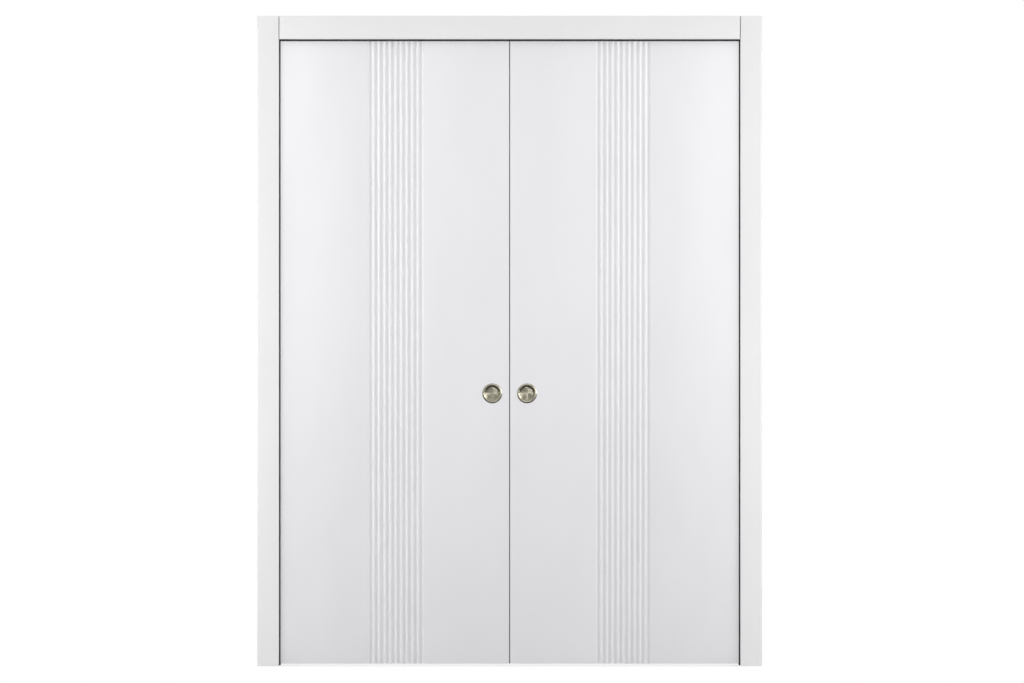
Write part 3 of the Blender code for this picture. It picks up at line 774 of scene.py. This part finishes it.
post_plan = jamb_section([(JAMB_THICK, WALL_FACE), (JAMB_THICK, SLOT)])
post = swept("right_front_post", [(OPENING + x, -y) for x, y in post_plan], "z", 0, JAMB_HIGH)
top = DOOR_TOP - OPENING_TOP
lintel_plan = [(top, WALL_FACE), (top, BOARD_IN), (LIP_HIGH, BOARD_IN), (LIP_HIGH, SLOT)]
lintel_plan = [(-y, OPENING_TOP + up) for up, y in jamb_section(lintel_plan)]
lintel = swept("front_lintel", lintel_plan, "x", SEAT - OPENING, OPENING - SEAT)
fit_round(lintel, "lintel", post, "post", "jamb")
print("jambs fitted")

# %% [markdown]
# ## Seals
# A dark strip lines the opening on each side of the leaves, up one jamb, along the head and down the
# other, and it shows as the thin dark line between leaf and casing. Three bars would have to be
# mitred where they meet, so it is drawn as one flat outline, extruded to its depth and eased.

# %% Seals
SEAL_IN, SEAL_OUT, SEAL_FOOT = 0.745, 0.7497, 0.002
SEAL_UNDER, SEAL_TOP = 2.031, 2.0367
SEAL_NEAR, SEAL_FAR, SEAL_EDGE = -0.0205, -0.032, 0.0012
right = [(SEAL_IN, SEAL_UNDER), (SEAL_IN, SEAL_FOOT), (SEAL_OUT, SEAL_FOOT), (SEAL_OUT, SEAL_TOP)]
seal = swept("front_gasket", right + mirrored(right), "y", SEAL_NEAR, SEAL_FAR)
eased(seal, SEAL_EDGE, segments=3)
for face in FACES:
    made = facing(seal, f"{face}_gasket", face=face)
    fitted(made, "frame", RUBBER, "dark_seal", f"{face}_seal")
print("seals fitted")

# %% [markdown]
# ## Screws
# Two kinds of wood screw hold the hardware: countersunk ones in the hanger plates and floor guides,
# and pan-headed ones through the rail. A true spiral would take many more faces and hardly shows, so
# the thread is a row of turned ridges. Each screw is turned once, its cross recess is cut with two
# small blocks, and it is copied to every place. The guides' screws would go on into the building's
# floor, so here they end at the floor, at the underside of the guide.

# %% Screws
SHANK, SCREW_PITCH, SCREW_POINT, HEAD_STEP = 0.0021, 0.0014, 0.006, 0.0002
RECESS_HALVES, RECESS_DEEP = (0.0023, 0.00045), 0.0016
SUNK_HEAD = [(0, 0), (0.0037, 0), (0.0038, -0.0002), (SHANK, -0.0022)]
PAN_HEAD = [(0, 0.0028), (0.0022, 0.0027), (0.0037, 0.0021), (0.0045, 0.0008), (0.0045, 0), (SHANK, 0)]
shank_root = SHANK * 0.72


def screw_thread(top, bottom):
    """Ridges down a shank, ending in a point."""
    profile, at = [], top
    while at > bottom + SCREW_POINT:
        profile += [(shank_root, at), (SHANK, at - SCREW_PITCH / 2), (shank_root, at - SCREW_PITCH)]
        at -= SCREW_PITCH
    return profile + [(0, bottom)]


def make_screw(name, head_profile, length):
    """A screw that points down. Z = 0 is the face that it is driven into."""
    top, under = head_profile[0][1], head_profile[-1][1]
    screw = turned(name, head_profile + screw_thread(under - HEAD_STEP, -length), "z", 20)
    for x, y in (RECESS_HALVES, RECESS_HALVES[::-1]):
        carved(screw, block("recess", (-x, -y, top - RECESS_DEEP), (x, y, top + PAST)))
    return screw


plate_screw = make_screw("plate_screw", SUNK_HEAD, length=0.024)
guide_screw = make_screw("guide_screw", SUNK_HEAD, length=0.003)
pan_screw = make_screw("pan_screw", PAN_HEAD, length=0.014)
print("faces on a screw:", len(plate_screw.data.polygons), len(pan_screw.data.polygons))

# %% [markdown]
# ## Rail and header board
# The rail is an aluminium extrusion, a box with a slot along the bottom. Its two lips carry the
# wheels, and its inner corners are rounded. A channel cut out of a bar would have sharp corners, so
# the whole section is drawn and swept, as a die does it. Screws through the rail's top hold it to the
# header board, a length of planed softwood between the two lintels.

# %% Rail
RAIL_HALF, RAIL_LOW, RAIL_HIGH, LIP_TOP = 1.409, 2.062, 2.096, 2.0645
RAIL_Y, RAIL_WALL, RAIL_SLOT = 0.018, 0.0025, 0.006
RAIL_ROUND, CEILING_COVE, LIP_COVE = 0.001, 0.0015, 0.0008
RAIL_SCREWS, RAIL_SCREW_GAP, RAIL_BORE = 10, 0.3, 0.0025
ceiling = RAIL_HIGH - RAIL_WALL


def rail_section():
    """Across and up: round the outside from slot to slot, then round the inside."""
    side, inner = RAIL_Y - RAIL_ROUND, RAIL_Y - RAIL_WALL
    outside = [(RAIL_SLOT, LIP_TOP), (RAIL_SLOT, RAIL_LOW)]
    outside += arc((side, RAIL_LOW + RAIL_ROUND), RAIL_ROUND, 270, 360)
    outside += arc((side, RAIL_HIGH - RAIL_ROUND), RAIL_ROUND, 0, 90)
    inside = arc((inner - CEILING_COVE, ceiling - CEILING_COVE), CEILING_COVE, 90, 0)
    inside += arc((inner - LIP_COVE, LIP_TOP + LIP_COVE), LIP_COVE, 0, -90, 3)
    return outside + mirrored(outside) + mirrored(inside) + inside


rail = swept("hanging_rail", rail_section(), "x", -RAIL_HALF, RAIL_HALF)
for number in range(RAIL_SCREWS):
    along = (number - (RAIL_SCREWS - 1) / 2) * RAIL_SCREW_GAP
    carved(rail, bore(RAIL_BORE, ceiling - PAST, RAIL_HIGH + PAST, "z", (along, 0, 0), 24))
    screw = copied(pan_screw, f"rail_screw_{number + 1}", (along, 0, ceiling), (1, -1, -1))
    fitted(screw, "frame", ZINC_STEEL, "zinc_steel")
fitted(rail, "frame", MILL_ALUMINIUM, "mill_aluminium", "rail")
print("rail fitted, with", RAIL_SCREWS, "screws")

# %% Header board
HEADER_Y, HEADER_LOW, HEADER_EDGE = 0.0377, 2.0963, 0.0015
plank = block("header_plank", (-RAIL_HALF, -HEADER_Y, HEADER_LOW), (RAIL_HALF, HEADER_Y, DOOR_TOP))
fitted(eased(plank, HEADER_EDGE, segments=3), "frame", HEADER_PINE, "pine", "header_board")
print("header board fitted, of", len(plank.data.polygons), "faces")

# %% [markdown]
# ## Stops
# Blocks clamped in the rail stop the trolleys: one in the middle, where the leaves meet, and one
# near either end. A rubber nose takes the knock, and a hexagon socket in the block's underside is
# there for the key that clamps it. Steel and rubber could share one mesh in two finishes, but on the
# real stop they are two things with a clean joint, so each nose is a block of its own.

# %% Stops
STOP_LOW, STOP_HIGH, STOP_Y, STOP_EDGE = 2.0648, 2.0828, 0.0152, 0.0008
NOSE_LONG, NOSE_Y, NOSE_INSET, NOSE_EDGE = 0.006, 0.005, 0.001, 0.0018
SOCKET_RADIUS, SOCKET_DEEP = 0.004, 0.004
MIDDLE_STOP, END_STOP_IN, END_STOP_OUT = 0.044, 1.371, 1.401


def make_stop(name, low, high, noses, node):
    """A steel block from low to high along X, with a rubber nose on each named end."""
    low_in = low + NOSE_LONG * ("left" in noses)
    high_in = high - NOSE_LONG * ("right" in noses)
    steel = block(name, (low_in, -STOP_Y, STOP_LOW), (high_in, STOP_Y, STOP_HIGH))
    eased(steel, STOP_EDGE)
    middle = ((low_in + high_in) / 2, 0, 0)
    carved(steel, bore(SOCKET_RADIUS, STOP_LOW - PAST, STOP_LOW + SOCKET_DEEP, "z", middle, steps=6))
    fitted(steel, "frame", ZINC_STEEL, "zinc_steel", node)
    for way in noses:
        start, end = (low, low_in) if way == "left" else (high_in, high)
        corner = (end, NOSE_Y, STOP_HIGH - NOSE_INSET)
        nose = block(f"{name}_nose_{way}", (start, -NOSE_Y, STOP_LOW + NOSE_INSET), corner)
        fitted(eased(nose, NOSE_EDGE, segments=4), "frame", RUBBER, "dark_seal")


make_stop("middle_stop", -MIDDLE_STOP, MIDDLE_STOP, ("left", "right"), "centre_stop")
make_stop("left_stop", -END_STOP_OUT, -END_STOP_IN, ("right",), "left_end_stop")
make_stop("right_stop", END_STOP_IN, END_STOP_OUT, ("left",), "right_end_stop")
print("stops fitted")

# %% [markdown]
# ## Floor guides
# A nylon guide is screwed to the floor at each jamb. Its thin fin stands in the groove under the
# leaf, so the leaf can't swing. The fin's top is rounded and its ends are eased, so that the groove
# slides on without catching. Two blocks set on each other would meet in a sharp corner. A moulding
# has a cove there, so base and fin are drawn as one outline and swept along.

# %% Floor guides
GUIDE_X, GUIDE_LONG, GUIDE_Y, GUIDE_EDGE = 0.7503, 0.045, 0.0257, 0.0006
BASE_HIGH, BASE_ROUND, FIN_HALF, FIN_HIGH, FIN_COVE = 0.003, 0.001, 0.002, 0.018, 0.0008
GUIDE_SCREW_Y = 0.014
SINK_WIDE, SINK_DEEP, SINK_BORE = 0.0040, 0.0022, 0.0024


def guide_section():
    right = [(GUIDE_Y, 0)] + arc((GUIDE_Y - BASE_ROUND, BASE_HIGH - BASE_ROUND), BASE_ROUND, 0, 90, 3)
    right += arc((FIN_HALF + FIN_COVE, BASE_HIGH + FIN_COVE), FIN_COVE, 270, 180, 3)
    right += arc((0, FIN_HIGH - FIN_HALF), FIN_HALF, 0, 90, 6)
    return right + mirrored(right[:-1])


def sink(place):
    """A drill for a countersunk screw, whose mouth is at the place."""
    profile = [(0, PAST), (SINK_WIDE, PAST), (SINK_WIDE, 0)]
    profile += [(SINK_BORE, -SINK_DEEP), (SINK_BORE, -PAST), (0, -PAST)]
    return moved(turned("sink", profile, "z", 32), place)


guide = swept("right_guide", guide_section(), "x", GUIDE_X, GUIDE_X + GUIDE_LONG)
eased(guide, GUIDE_EDGE, angle=60)
guide_screws = [(GUIDE_X + GUIDE_LONG / 2, y * GUIDE_SCREW_Y, BASE_HIGH) for y in FACES.values()]
for place in guide_screws:
    carved(guide, sink(place))
for side in SIDES:
    made = facing(guide, f"{side}_guide", side)
    fitted(made, "frame", NYLON, "nylon", f"{side}_floor_guide")
print("floor guides fitted")

# %% [markdown]
# ## Hangers
# Four hangers carry the leaves, two on each. A plate is screwed to the leaf's top edge, a bolt comes
# up through it, a lock nut holds the height that the fitter set, and a trolley with two wheels runs
# in the rail. Each could be modelled in its place, but at X = 0 every spin turns round the origin, so
# one hanger is modelled there and copied to its four places.

# %% Hanger plate
PLATE_LOW, PLATE_HIGH, PLATE_HALF, PLATE_Y = 2.0393, 2.0423, 0.050, 0.011
PLATE_CORNER, PLATE_EDGE, PLATE_BORE = 0.004, 0.0004, 0.0044
PLATE_SCREW_X, PLATE_SCREW_Y = (-0.038, -0.020, 0.020, 0.038), 0.0045
plate_screws = []
for number, x in enumerate(PLATE_SCREW_X):
    plate_screws.append((x, PLATE_SCREW_Y * (-1) ** number, PLATE_HIGH))


def is_plate_corner(start, end):
    return abs(start.z - end.z) > (PLATE_HIGH - PLATE_LOW) / 2


def make_plate():
    plate = block("plate", (-PLATE_HALF, -PLATE_Y, PLATE_LOW), (PLATE_HALF, PLATE_Y, PLATE_HIGH))
    bevelled(plate, is_plate_corner, PLATE_CORNER, segments=6)
    eased(plate, PLATE_EDGE)
    carved(plate, bore(PLATE_BORE, PLATE_LOW - PAST, PLATE_HIGH + PAST, "z"))
    for place in plate_screws:
        carved(plate, sink(place))
    return plate


plate = make_plate()
print("faces on a plate:", len(plate.data.polygons))

# %% Bolt and lock nut
BOLT_RADIUS, BOLT_ROOT, BOLT_TIP, BOLT_TOP = 0.004, 0.0034, 0.0032, 2.0670
BOLT_PITCH, RIDGE_RISE, RIDGE_FLAT, PLAIN_END = 0.00125, 0.0005, 0.0002, 0.002
HEX_FLAT, HEX_WIDE, HEX_NARROW, HEX_CUT = 0.0065, 0.0078, 0.006305, 0.0009
HEAD_LOW, HEAD_HIGH = 2.0337, 2.0390
NUT_LOW, NUT_HIGH = 2.0482, 2.0547
FIT = 0.0002


def hexagon(name, low, high, barrel_high):
    """A hexagon from low to high, its corners trimmed by a barrel from low to barrel_high."""
    corner = HEX_FLAT / math.cos(math.radians(30))
    profile = [(0, low), (HEX_NARROW, low), (HEX_WIDE, low + HEX_CUT)]
    profile += [(HEX_WIDE, barrel_high - HEX_CUT), (HEX_NARROW, barrel_high), (0, barrel_high)]
    piece = swept(name, arc((0, 0), corner, 0, 300, 5), "z", low, high)
    return carved(piece, turned("barrel", profile, "z", 48), "INTERSECT")


def make_bolt():
    bolt = hexagon("bolt", HEAD_LOW, HEAD_HIGH, HEAD_HIGH + PAST)
    foot, at = HEAD_HIGH - PLAIN_END, HEAD_HIGH + RIDGE_RISE
    profile = [(0, foot), (BOLT_ROOT, foot)]
    while at < BOLT_TOP - PLAIN_END:
        crest = at + RIDGE_RISE
        profile += [(BOLT_ROOT, at), (BOLT_RADIUS, crest), (BOLT_RADIUS, crest + RIDGE_FLAT)]
        at += BOLT_PITCH
    profile += [(BOLT_TIP, BOLT_TOP), (0, BOLT_TOP)]
    return carved(bolt, turned("shank", profile, "z", 32), "UNION")


def make_nut():
    nut = hexagon("nut", NUT_LOW, NUT_HIGH, NUT_HIGH)
    return carved(nut, bore(BOLT_RADIUS + FIT, NUT_LOW - PAST, NUT_HIGH + PAST, "z"))


bolt, nut = make_bolt(), make_nut()
print("faces on a bolt and a nut:", len(bolt.data.polygons), len(nut.data.polygons))

# %% Trolley
TROLLEY_HALF, TROLLEY_Y, TROLLEY_HIGH = 0.017, 0.0055, 2.0838
TROLLEY_ROUND, TROLLEY_EDGE = 0.006, 0.0007
NECK_HALF, NECK_LOW = 0.012, 2.055
AXLE_Z, AXLE_RADIUS = 2.0748, 0.003


def make_trolley():
    shoulder = LIP_TOP + TROLLEY_HALF - NECK_HALF
    right = [(NECK_HALF, NECK_LOW), (NECK_HALF, LIP_TOP), (TROLLEY_HALF, shoulder)]
    centre = (TROLLEY_HALF - TROLLEY_ROUND, TROLLEY_HIGH - TROLLEY_ROUND)
    right += arc(centre, TROLLEY_ROUND, 0, 90, 8)
    trolley = swept("trolley", right + mirrored(right), "y", -TROLLEY_Y, TROLLEY_Y)
    eased(trolley, TROLLEY_EDGE, angle=50)
    reach = TROLLEY_Y + PAST
    carved(trolley, bore(AXLE_RADIUS + FIT, -reach, reach, "y", (0, 0, AXLE_Z)))
    return carved(trolley, bore(BOLT_RADIUS + FIT, NECK_LOW - PAST, BOLT_TOP + FIT, "z"))


trolley = make_trolley()
print("faces on a trolley:", len(trolley.data.polygons))

# %% Axle and wheel
AXLE_END = 0.0136
RIVET_HEAD = [(0.0045, 0), (0.0045, 0.0004), (0.0036, 0.0009), (0.0018, 0.0012), (0, 0.0012)]
WHEEL_RADIUS, WHEEL_HALF, WHEEL_Y, WHEEL_EDGE = 0.010, 0.0035, 0.0098, 0.0008
HUB_BORE, HUB, TYRE, WEB_SINK, DRAFT = 0.0033, 0.0052, 0.0082, 0.0012, 0.0004


def make_axle():
    right = [(AXLE_RADIUS, 0), (AXLE_RADIUS, AXLE_END)]
    right += [(radius, AXLE_END + high) for radius, high in RIVET_HEAD]
    return moved(turned("axle", mirrored(right[1:], (1, -1)) + right, "y", 40), (0, 0, AXLE_Z))


def make_wheel():
    web = WHEEL_HALF - WEB_SINK
    right = [(HUB_BORE, WHEEL_HALF), (HUB, WHEEL_HALF), (HUB + DRAFT, web)]
    right += [(TYRE - DRAFT, web), (TYRE, WHEEL_HALF)]
    right += arc((WHEEL_RADIUS - WHEEL_EDGE, WHEEL_HALF - WHEEL_EDGE), WHEEL_EDGE, 90, 0)
    profile = right + mirrored(right, (1, -1)) + right[:1]
    return moved(turned("wheel", profile, "y", 64), (0, 0, AXLE_Z))


axle, wheel = make_axle(), make_wheel()
print("faces on an axle and a wheel:", len(axle.data.polygons), len(wheel.data.polygons))

# %% Four hangers and their screws
steel_parts = {"plate": plate, "bolt": bolt, "nut": nut, "trolley": trolley, "axle": axle}
STEEL_NODES = ("hanger_plate", "hanger_bolt", "lock_nut", "trolley", "axle")


def fit_hanger(side, hanger):
    start, leaf = f"{side}_{hanger}", f"{side}_leaf"
    shift = Vector((SIDES[side] * HANGER_X[hanger], 0, 0))
    for (part, model), node in zip(steel_parts.items(), STEEL_NODES):
        made = copied(model, f"{start}_{part}", shift)
        fitted(made, leaf, ZINC_STEEL, "zinc_steel", f"{start}_{node}")
    for face, y in FACES.items():
        made = copied(wheel, f"{start}_{face}_runner", shift + Vector((0, y * WHEEL_Y, 0)))
        fitted(made, f"{start}_{face}_roller", NYLON, "nylon", f"{start}_{face}_wheel")
    for number, place in enumerate(plate_screws):
        made = copied(plate_screw, f"{start}_screw_{number + 1}", shift + Vector(place))
        fitted(made, leaf, ZINC_STEEL, "zinc_steel")


for side in SIDES:
    for hanger in HANGER_X:
        fit_hanger(side, hanger)
for side, x in SIDES.items():
    for number, (along, y, z) in enumerate(guide_screws):
        made = copied(guide_screw, f"{side}_guide_screw_{number + 1}", (x * along, y, z))
        fitted(made, "frame", ZINC_STEEL, "zinc_steel")
for model in [*steel_parts.values(), wheel, plate_screw, guide_screw, pan_screw]:
    bpy.data.objects.remove(model)
print("pieces fitted in all:", len(PIECES))

# %% [markdown]
# ## Floor, wall sheets and background
# The photograph stands the door on plain white. A painted floor alone turns grey away from the lamps
# and a glowing one takes no shadow, so the floor's shader has both: the camera sees paint with a glow
# added, and pure white far out, while light finds the paint alone. A white sheet on either side
# stands where the wall's surface would be, just behind the casings, so the rail's ends and the opened
# leaves pass out of sight behind it, as they do in a wall.

# %% Paint for the floor and the wall sheets
def make_backdrop(name, paint, glow, clear_from, clear_to):
    """Paint that light falls on. The camera sees it with a glow added, and pure white far out."""
    sheet = Finish(name, Base_Color=(paint, paint, paint, 1), Roughness=0.9, Specular_IOR_Level=0.0)
    coat = Wire(sheet, sheet.shader.outputs[0])
    glowing = sheet.add("ShaderNodeEmission", 0, {}, {"Color": (glow, glow, glow, 1)})
    lifted = sheet.add("ShaderNodeAddShader", 0, {}, {0: coat, 1: glowing})
    white = sheet.add("ShaderNodeEmission", 0, {}, {"Color": (1, 1, 1, 1)})
    radius = sheet.add("ShaderNodeVectorMath", "Value", {"operation": "LENGTH"}, {0: sheet.place()})
    fading = sheet.mixed_shader(sheet.between(radius, clear_from, clear_to), lifted, white)
    shown = sheet.mixed_shader(sheet.seen(), coat, fading)
    sheet.feed(sheet.tree.nodes["Material Output"].inputs[0], shown)
    return sheet.material


floor_white = make_backdrop("floor_white", paint=0.46, glow=0.57, clear_from=1.0, clear_to=1.9)
print("finish:", floor_white.name)

# %% Floor and wall sheets
FLOOR_SIZE = 16
SHEET_Y, SHEET_THICK, SHEET_IN, SHEET_OUT, SHEET_HIGH = -0.0545, 0.002, 0.785, 1.72, 2.26
deselect()
bpy.ops.mesh.primitive_plane_add(size=FLOOR_SIZE, location=(0, 0, 0))
floor = named("floor")
floor.data.materials.append(floor_white)
backdrops = [floor]
for side, x in SIDES.items():
    low, high = sorted((x * SHEET_IN, x * SHEET_OUT))
    sheet = block(f"{side}_wall_sheet", (low, SHEET_Y, 0), (high, SHEET_Y + SHEET_THICK, SHEET_HIGH))
    sheet_white = make_backdrop(f"{side}_sheet_white", paint=0.60, glow=1.0, clear_from=0.1, clear_to=0.2)
    sheet.data.materials.append(sheet_white)
    sheet.visible_shadow = False
    backdrops.append(sheet)
print("staged:", [item.name for item in backdrops])

# %% [markdown]
# ## Dark card
# Polished metal in an all-white room looks flat, so photographers lay a dark card near it to give it
# something to reflect. This one lies on the floor. The camera doesn't see it and it throws no shadow
# and no grey on the lacquer: only reflections find it, and they darken the pulls' lower edges.

# %% Dark card for reflections
CARD_SIZE, CARD_HIGH, CARD_GREY = 12, 0.004, (0.14, 0.14, 0.14, 1)
deselect()
bpy.ops.mesh.primitive_plane_add(size=CARD_SIZE, location=(0, 0, CARD_HIGH))
card = named("dark_card")
apply_place()
card.visible_camera = card.visible_diffuse = card.visible_shadow = False
card.data.materials.append(Finish("card_black", Base_Color=CARD_GREY, Roughness=0.9).material)
print("card that only reflections see:", card.name)

# %% [markdown]
# ## Light
# The photograph's light is soft and even, a little stronger from the upper left and right: each
# flute is bright on the wall that faces the nearer side. Most of it comes from the world, as from a
# bright room. On each face and side stand three area lights: one for the leaf, one for the frame
# and a low one that grazes the flutes. One light for all would be simpler, but no shadow of the
# casing falls on the photographed leaves. So each light is linked: it shines on its own pieces, and
# only the leaves throw shadows in the leaves' light. The back's leaf and frame lights stand further
# off, so that an opened leaf doesn't come too near them. Bare steel and aluminium have the room's
# light alone. The pulls have the right-hand leaf lights and two of their own, one of them a long
# strip, which draw the shine on their turned rings.

# %% Area lights
def area_light(name, place, target, size, watts):
    lamp = bpy.data.objects.new(name, bpy.data.lights.new(name, "AREA"))
    bpy.context.scene.collection.objects.link(lamp)
    lamp.data.shape = "RECTANGLE"
    lamp.data.size, lamp.data.size_y = size
    lamp.data.energy = watts
    lamp.location = place
    lamp.rotation_euler = (Vector(target) - Vector(place)).to_track_quat("-Z", "Y").to_euler()
    lamp.visible_camera = False
    return lamp


def grouped(name, pieces):
    group = bpy.data.collections.new(name)
    for piece in pieces:
        group.objects.link(piece)
    return group


def lit_only(lamp, pieces, blockers=()):
    """Lets a lamp shine on some pieces alone, and lets only the blockers throw its shadow."""
    lamp.light_linking.receiver_collection = grouped(lamp.name + "_receivers", pieces)
    if blockers:
        lamp.light_linking.blocker_collection = grouped(lamp.name + "_blockers", blockers)


print("helpers ready: area_light, grouped, lit_only")

# %% What the lights shine on
pulls = [piece for piece in PIECES if piece.name.endswith("flush_pull")]
bare_metal = [piece for piece in PIECES if piece.data.materials[0] in (ZINC_STEEL, MILL_ALUMINIUM)]
lamp_lit = {piece: body for piece, body in PIECES.items() if piece not in pulls + bare_metal}
leaf_pieces = [piece for piece, body in lamp_lit.items() if body != "frame"]
leaf_faces = [piece for piece in leaf_pieces if piece.name.endswith("_face")]
frame_pieces = [piece for piece, body in lamp_lit.items() if body == "frame"]
print("lit by leaf lights:", len(leaf_pieces), "and by frame lights:", len(frame_pieces))

# %% Lights on both faces, and on the pulls
SHARE, REACH = {"front": 1.0, "back": 0.60}, {"front": 1.0, "back": 1.5}
SIDE_LIGHTS = {  # place as across, outwards and up, target as across and up, size and watts
    "leaf": ((2.56, 1.35, 1.9), (0.55, 1.2), (0.9, 1.8), 44.0),
    "frame": ((2.8, 2.2, 1.5), (0.3, 1.1), (0.9, 1.8), 51.0),
    "flute": ((3.6, 0.5, 0.4), (0.4, 0.4), (0.3, 1.0), 20.0),
}
PULL_LIGHTS = {  # place, size and watts
    "pull_top_light": ((-0.6, -0.4, 3.0), (2.0, 0.8), 8.0),
    "pull_band_light": ((2.2, -3.4, 1.30), (3.2, 0.35), 46.0),
}


def side_light(kind, face, side, far=1.0):
    """One side light of a face. A lamp that stands further off is stronger to match."""
    (across, out, up), (aim_across, aim_up), size, watts = SIDE_LIGHTS[kind]
    x, y = SIDES[side], FACES[face]
    place, target = (x * far * across, y * far * out, up), (x * aim_across, 0, aim_up)
    return area_light(f"{face}_{side}_{kind}_light", place, target, size, SHARE[face] * far**2 * watts)


for face in FACES:
    for side in SIDES:
        lit = leaf_pieces + (pulls if side == "right" else [])
        lit_only(side_light("leaf", face, side, REACH[face]), lit, leaf_pieces)
        lit_only(side_light("frame", face, side, REACH[face]), frame_pieces + backdrops)
        lit_only(side_light("flute", face, side), leaf_faces, leaf_pieces)
for name, (place, size, watts) in PULL_LIGHTS.items():
    lit_only(area_light(name, place, (0, 0, PULL_Z), size, watts), pulls)

# %% Room light and white background
ROOM_LEVEL, ROOM_TINT = 0.62, (0.985, 0.99, 1.0, 1)
world = bpy.data.worlds.new("studio")
bpy.context.scene.world = world
world.use_nodes = True
room = Graph(world.node_tree)
fill = room.add("ShaderNodeBackground", 0, {}, {"Color": ROOM_TINT, "Strength": ROOM_LEVEL})
white = room.add("ShaderNodeBackground", 0, {}, {"Color": (1, 1, 1, 1), "Strength": 1.0})
room.feed(room.tree.nodes["World Output"].inputs[0], room.mixed_shader(room.seen(), fill, white))
bpy.context.scene.view_settings.view_transform = "Standard"
print("room light:", ROOM_LEVEL)
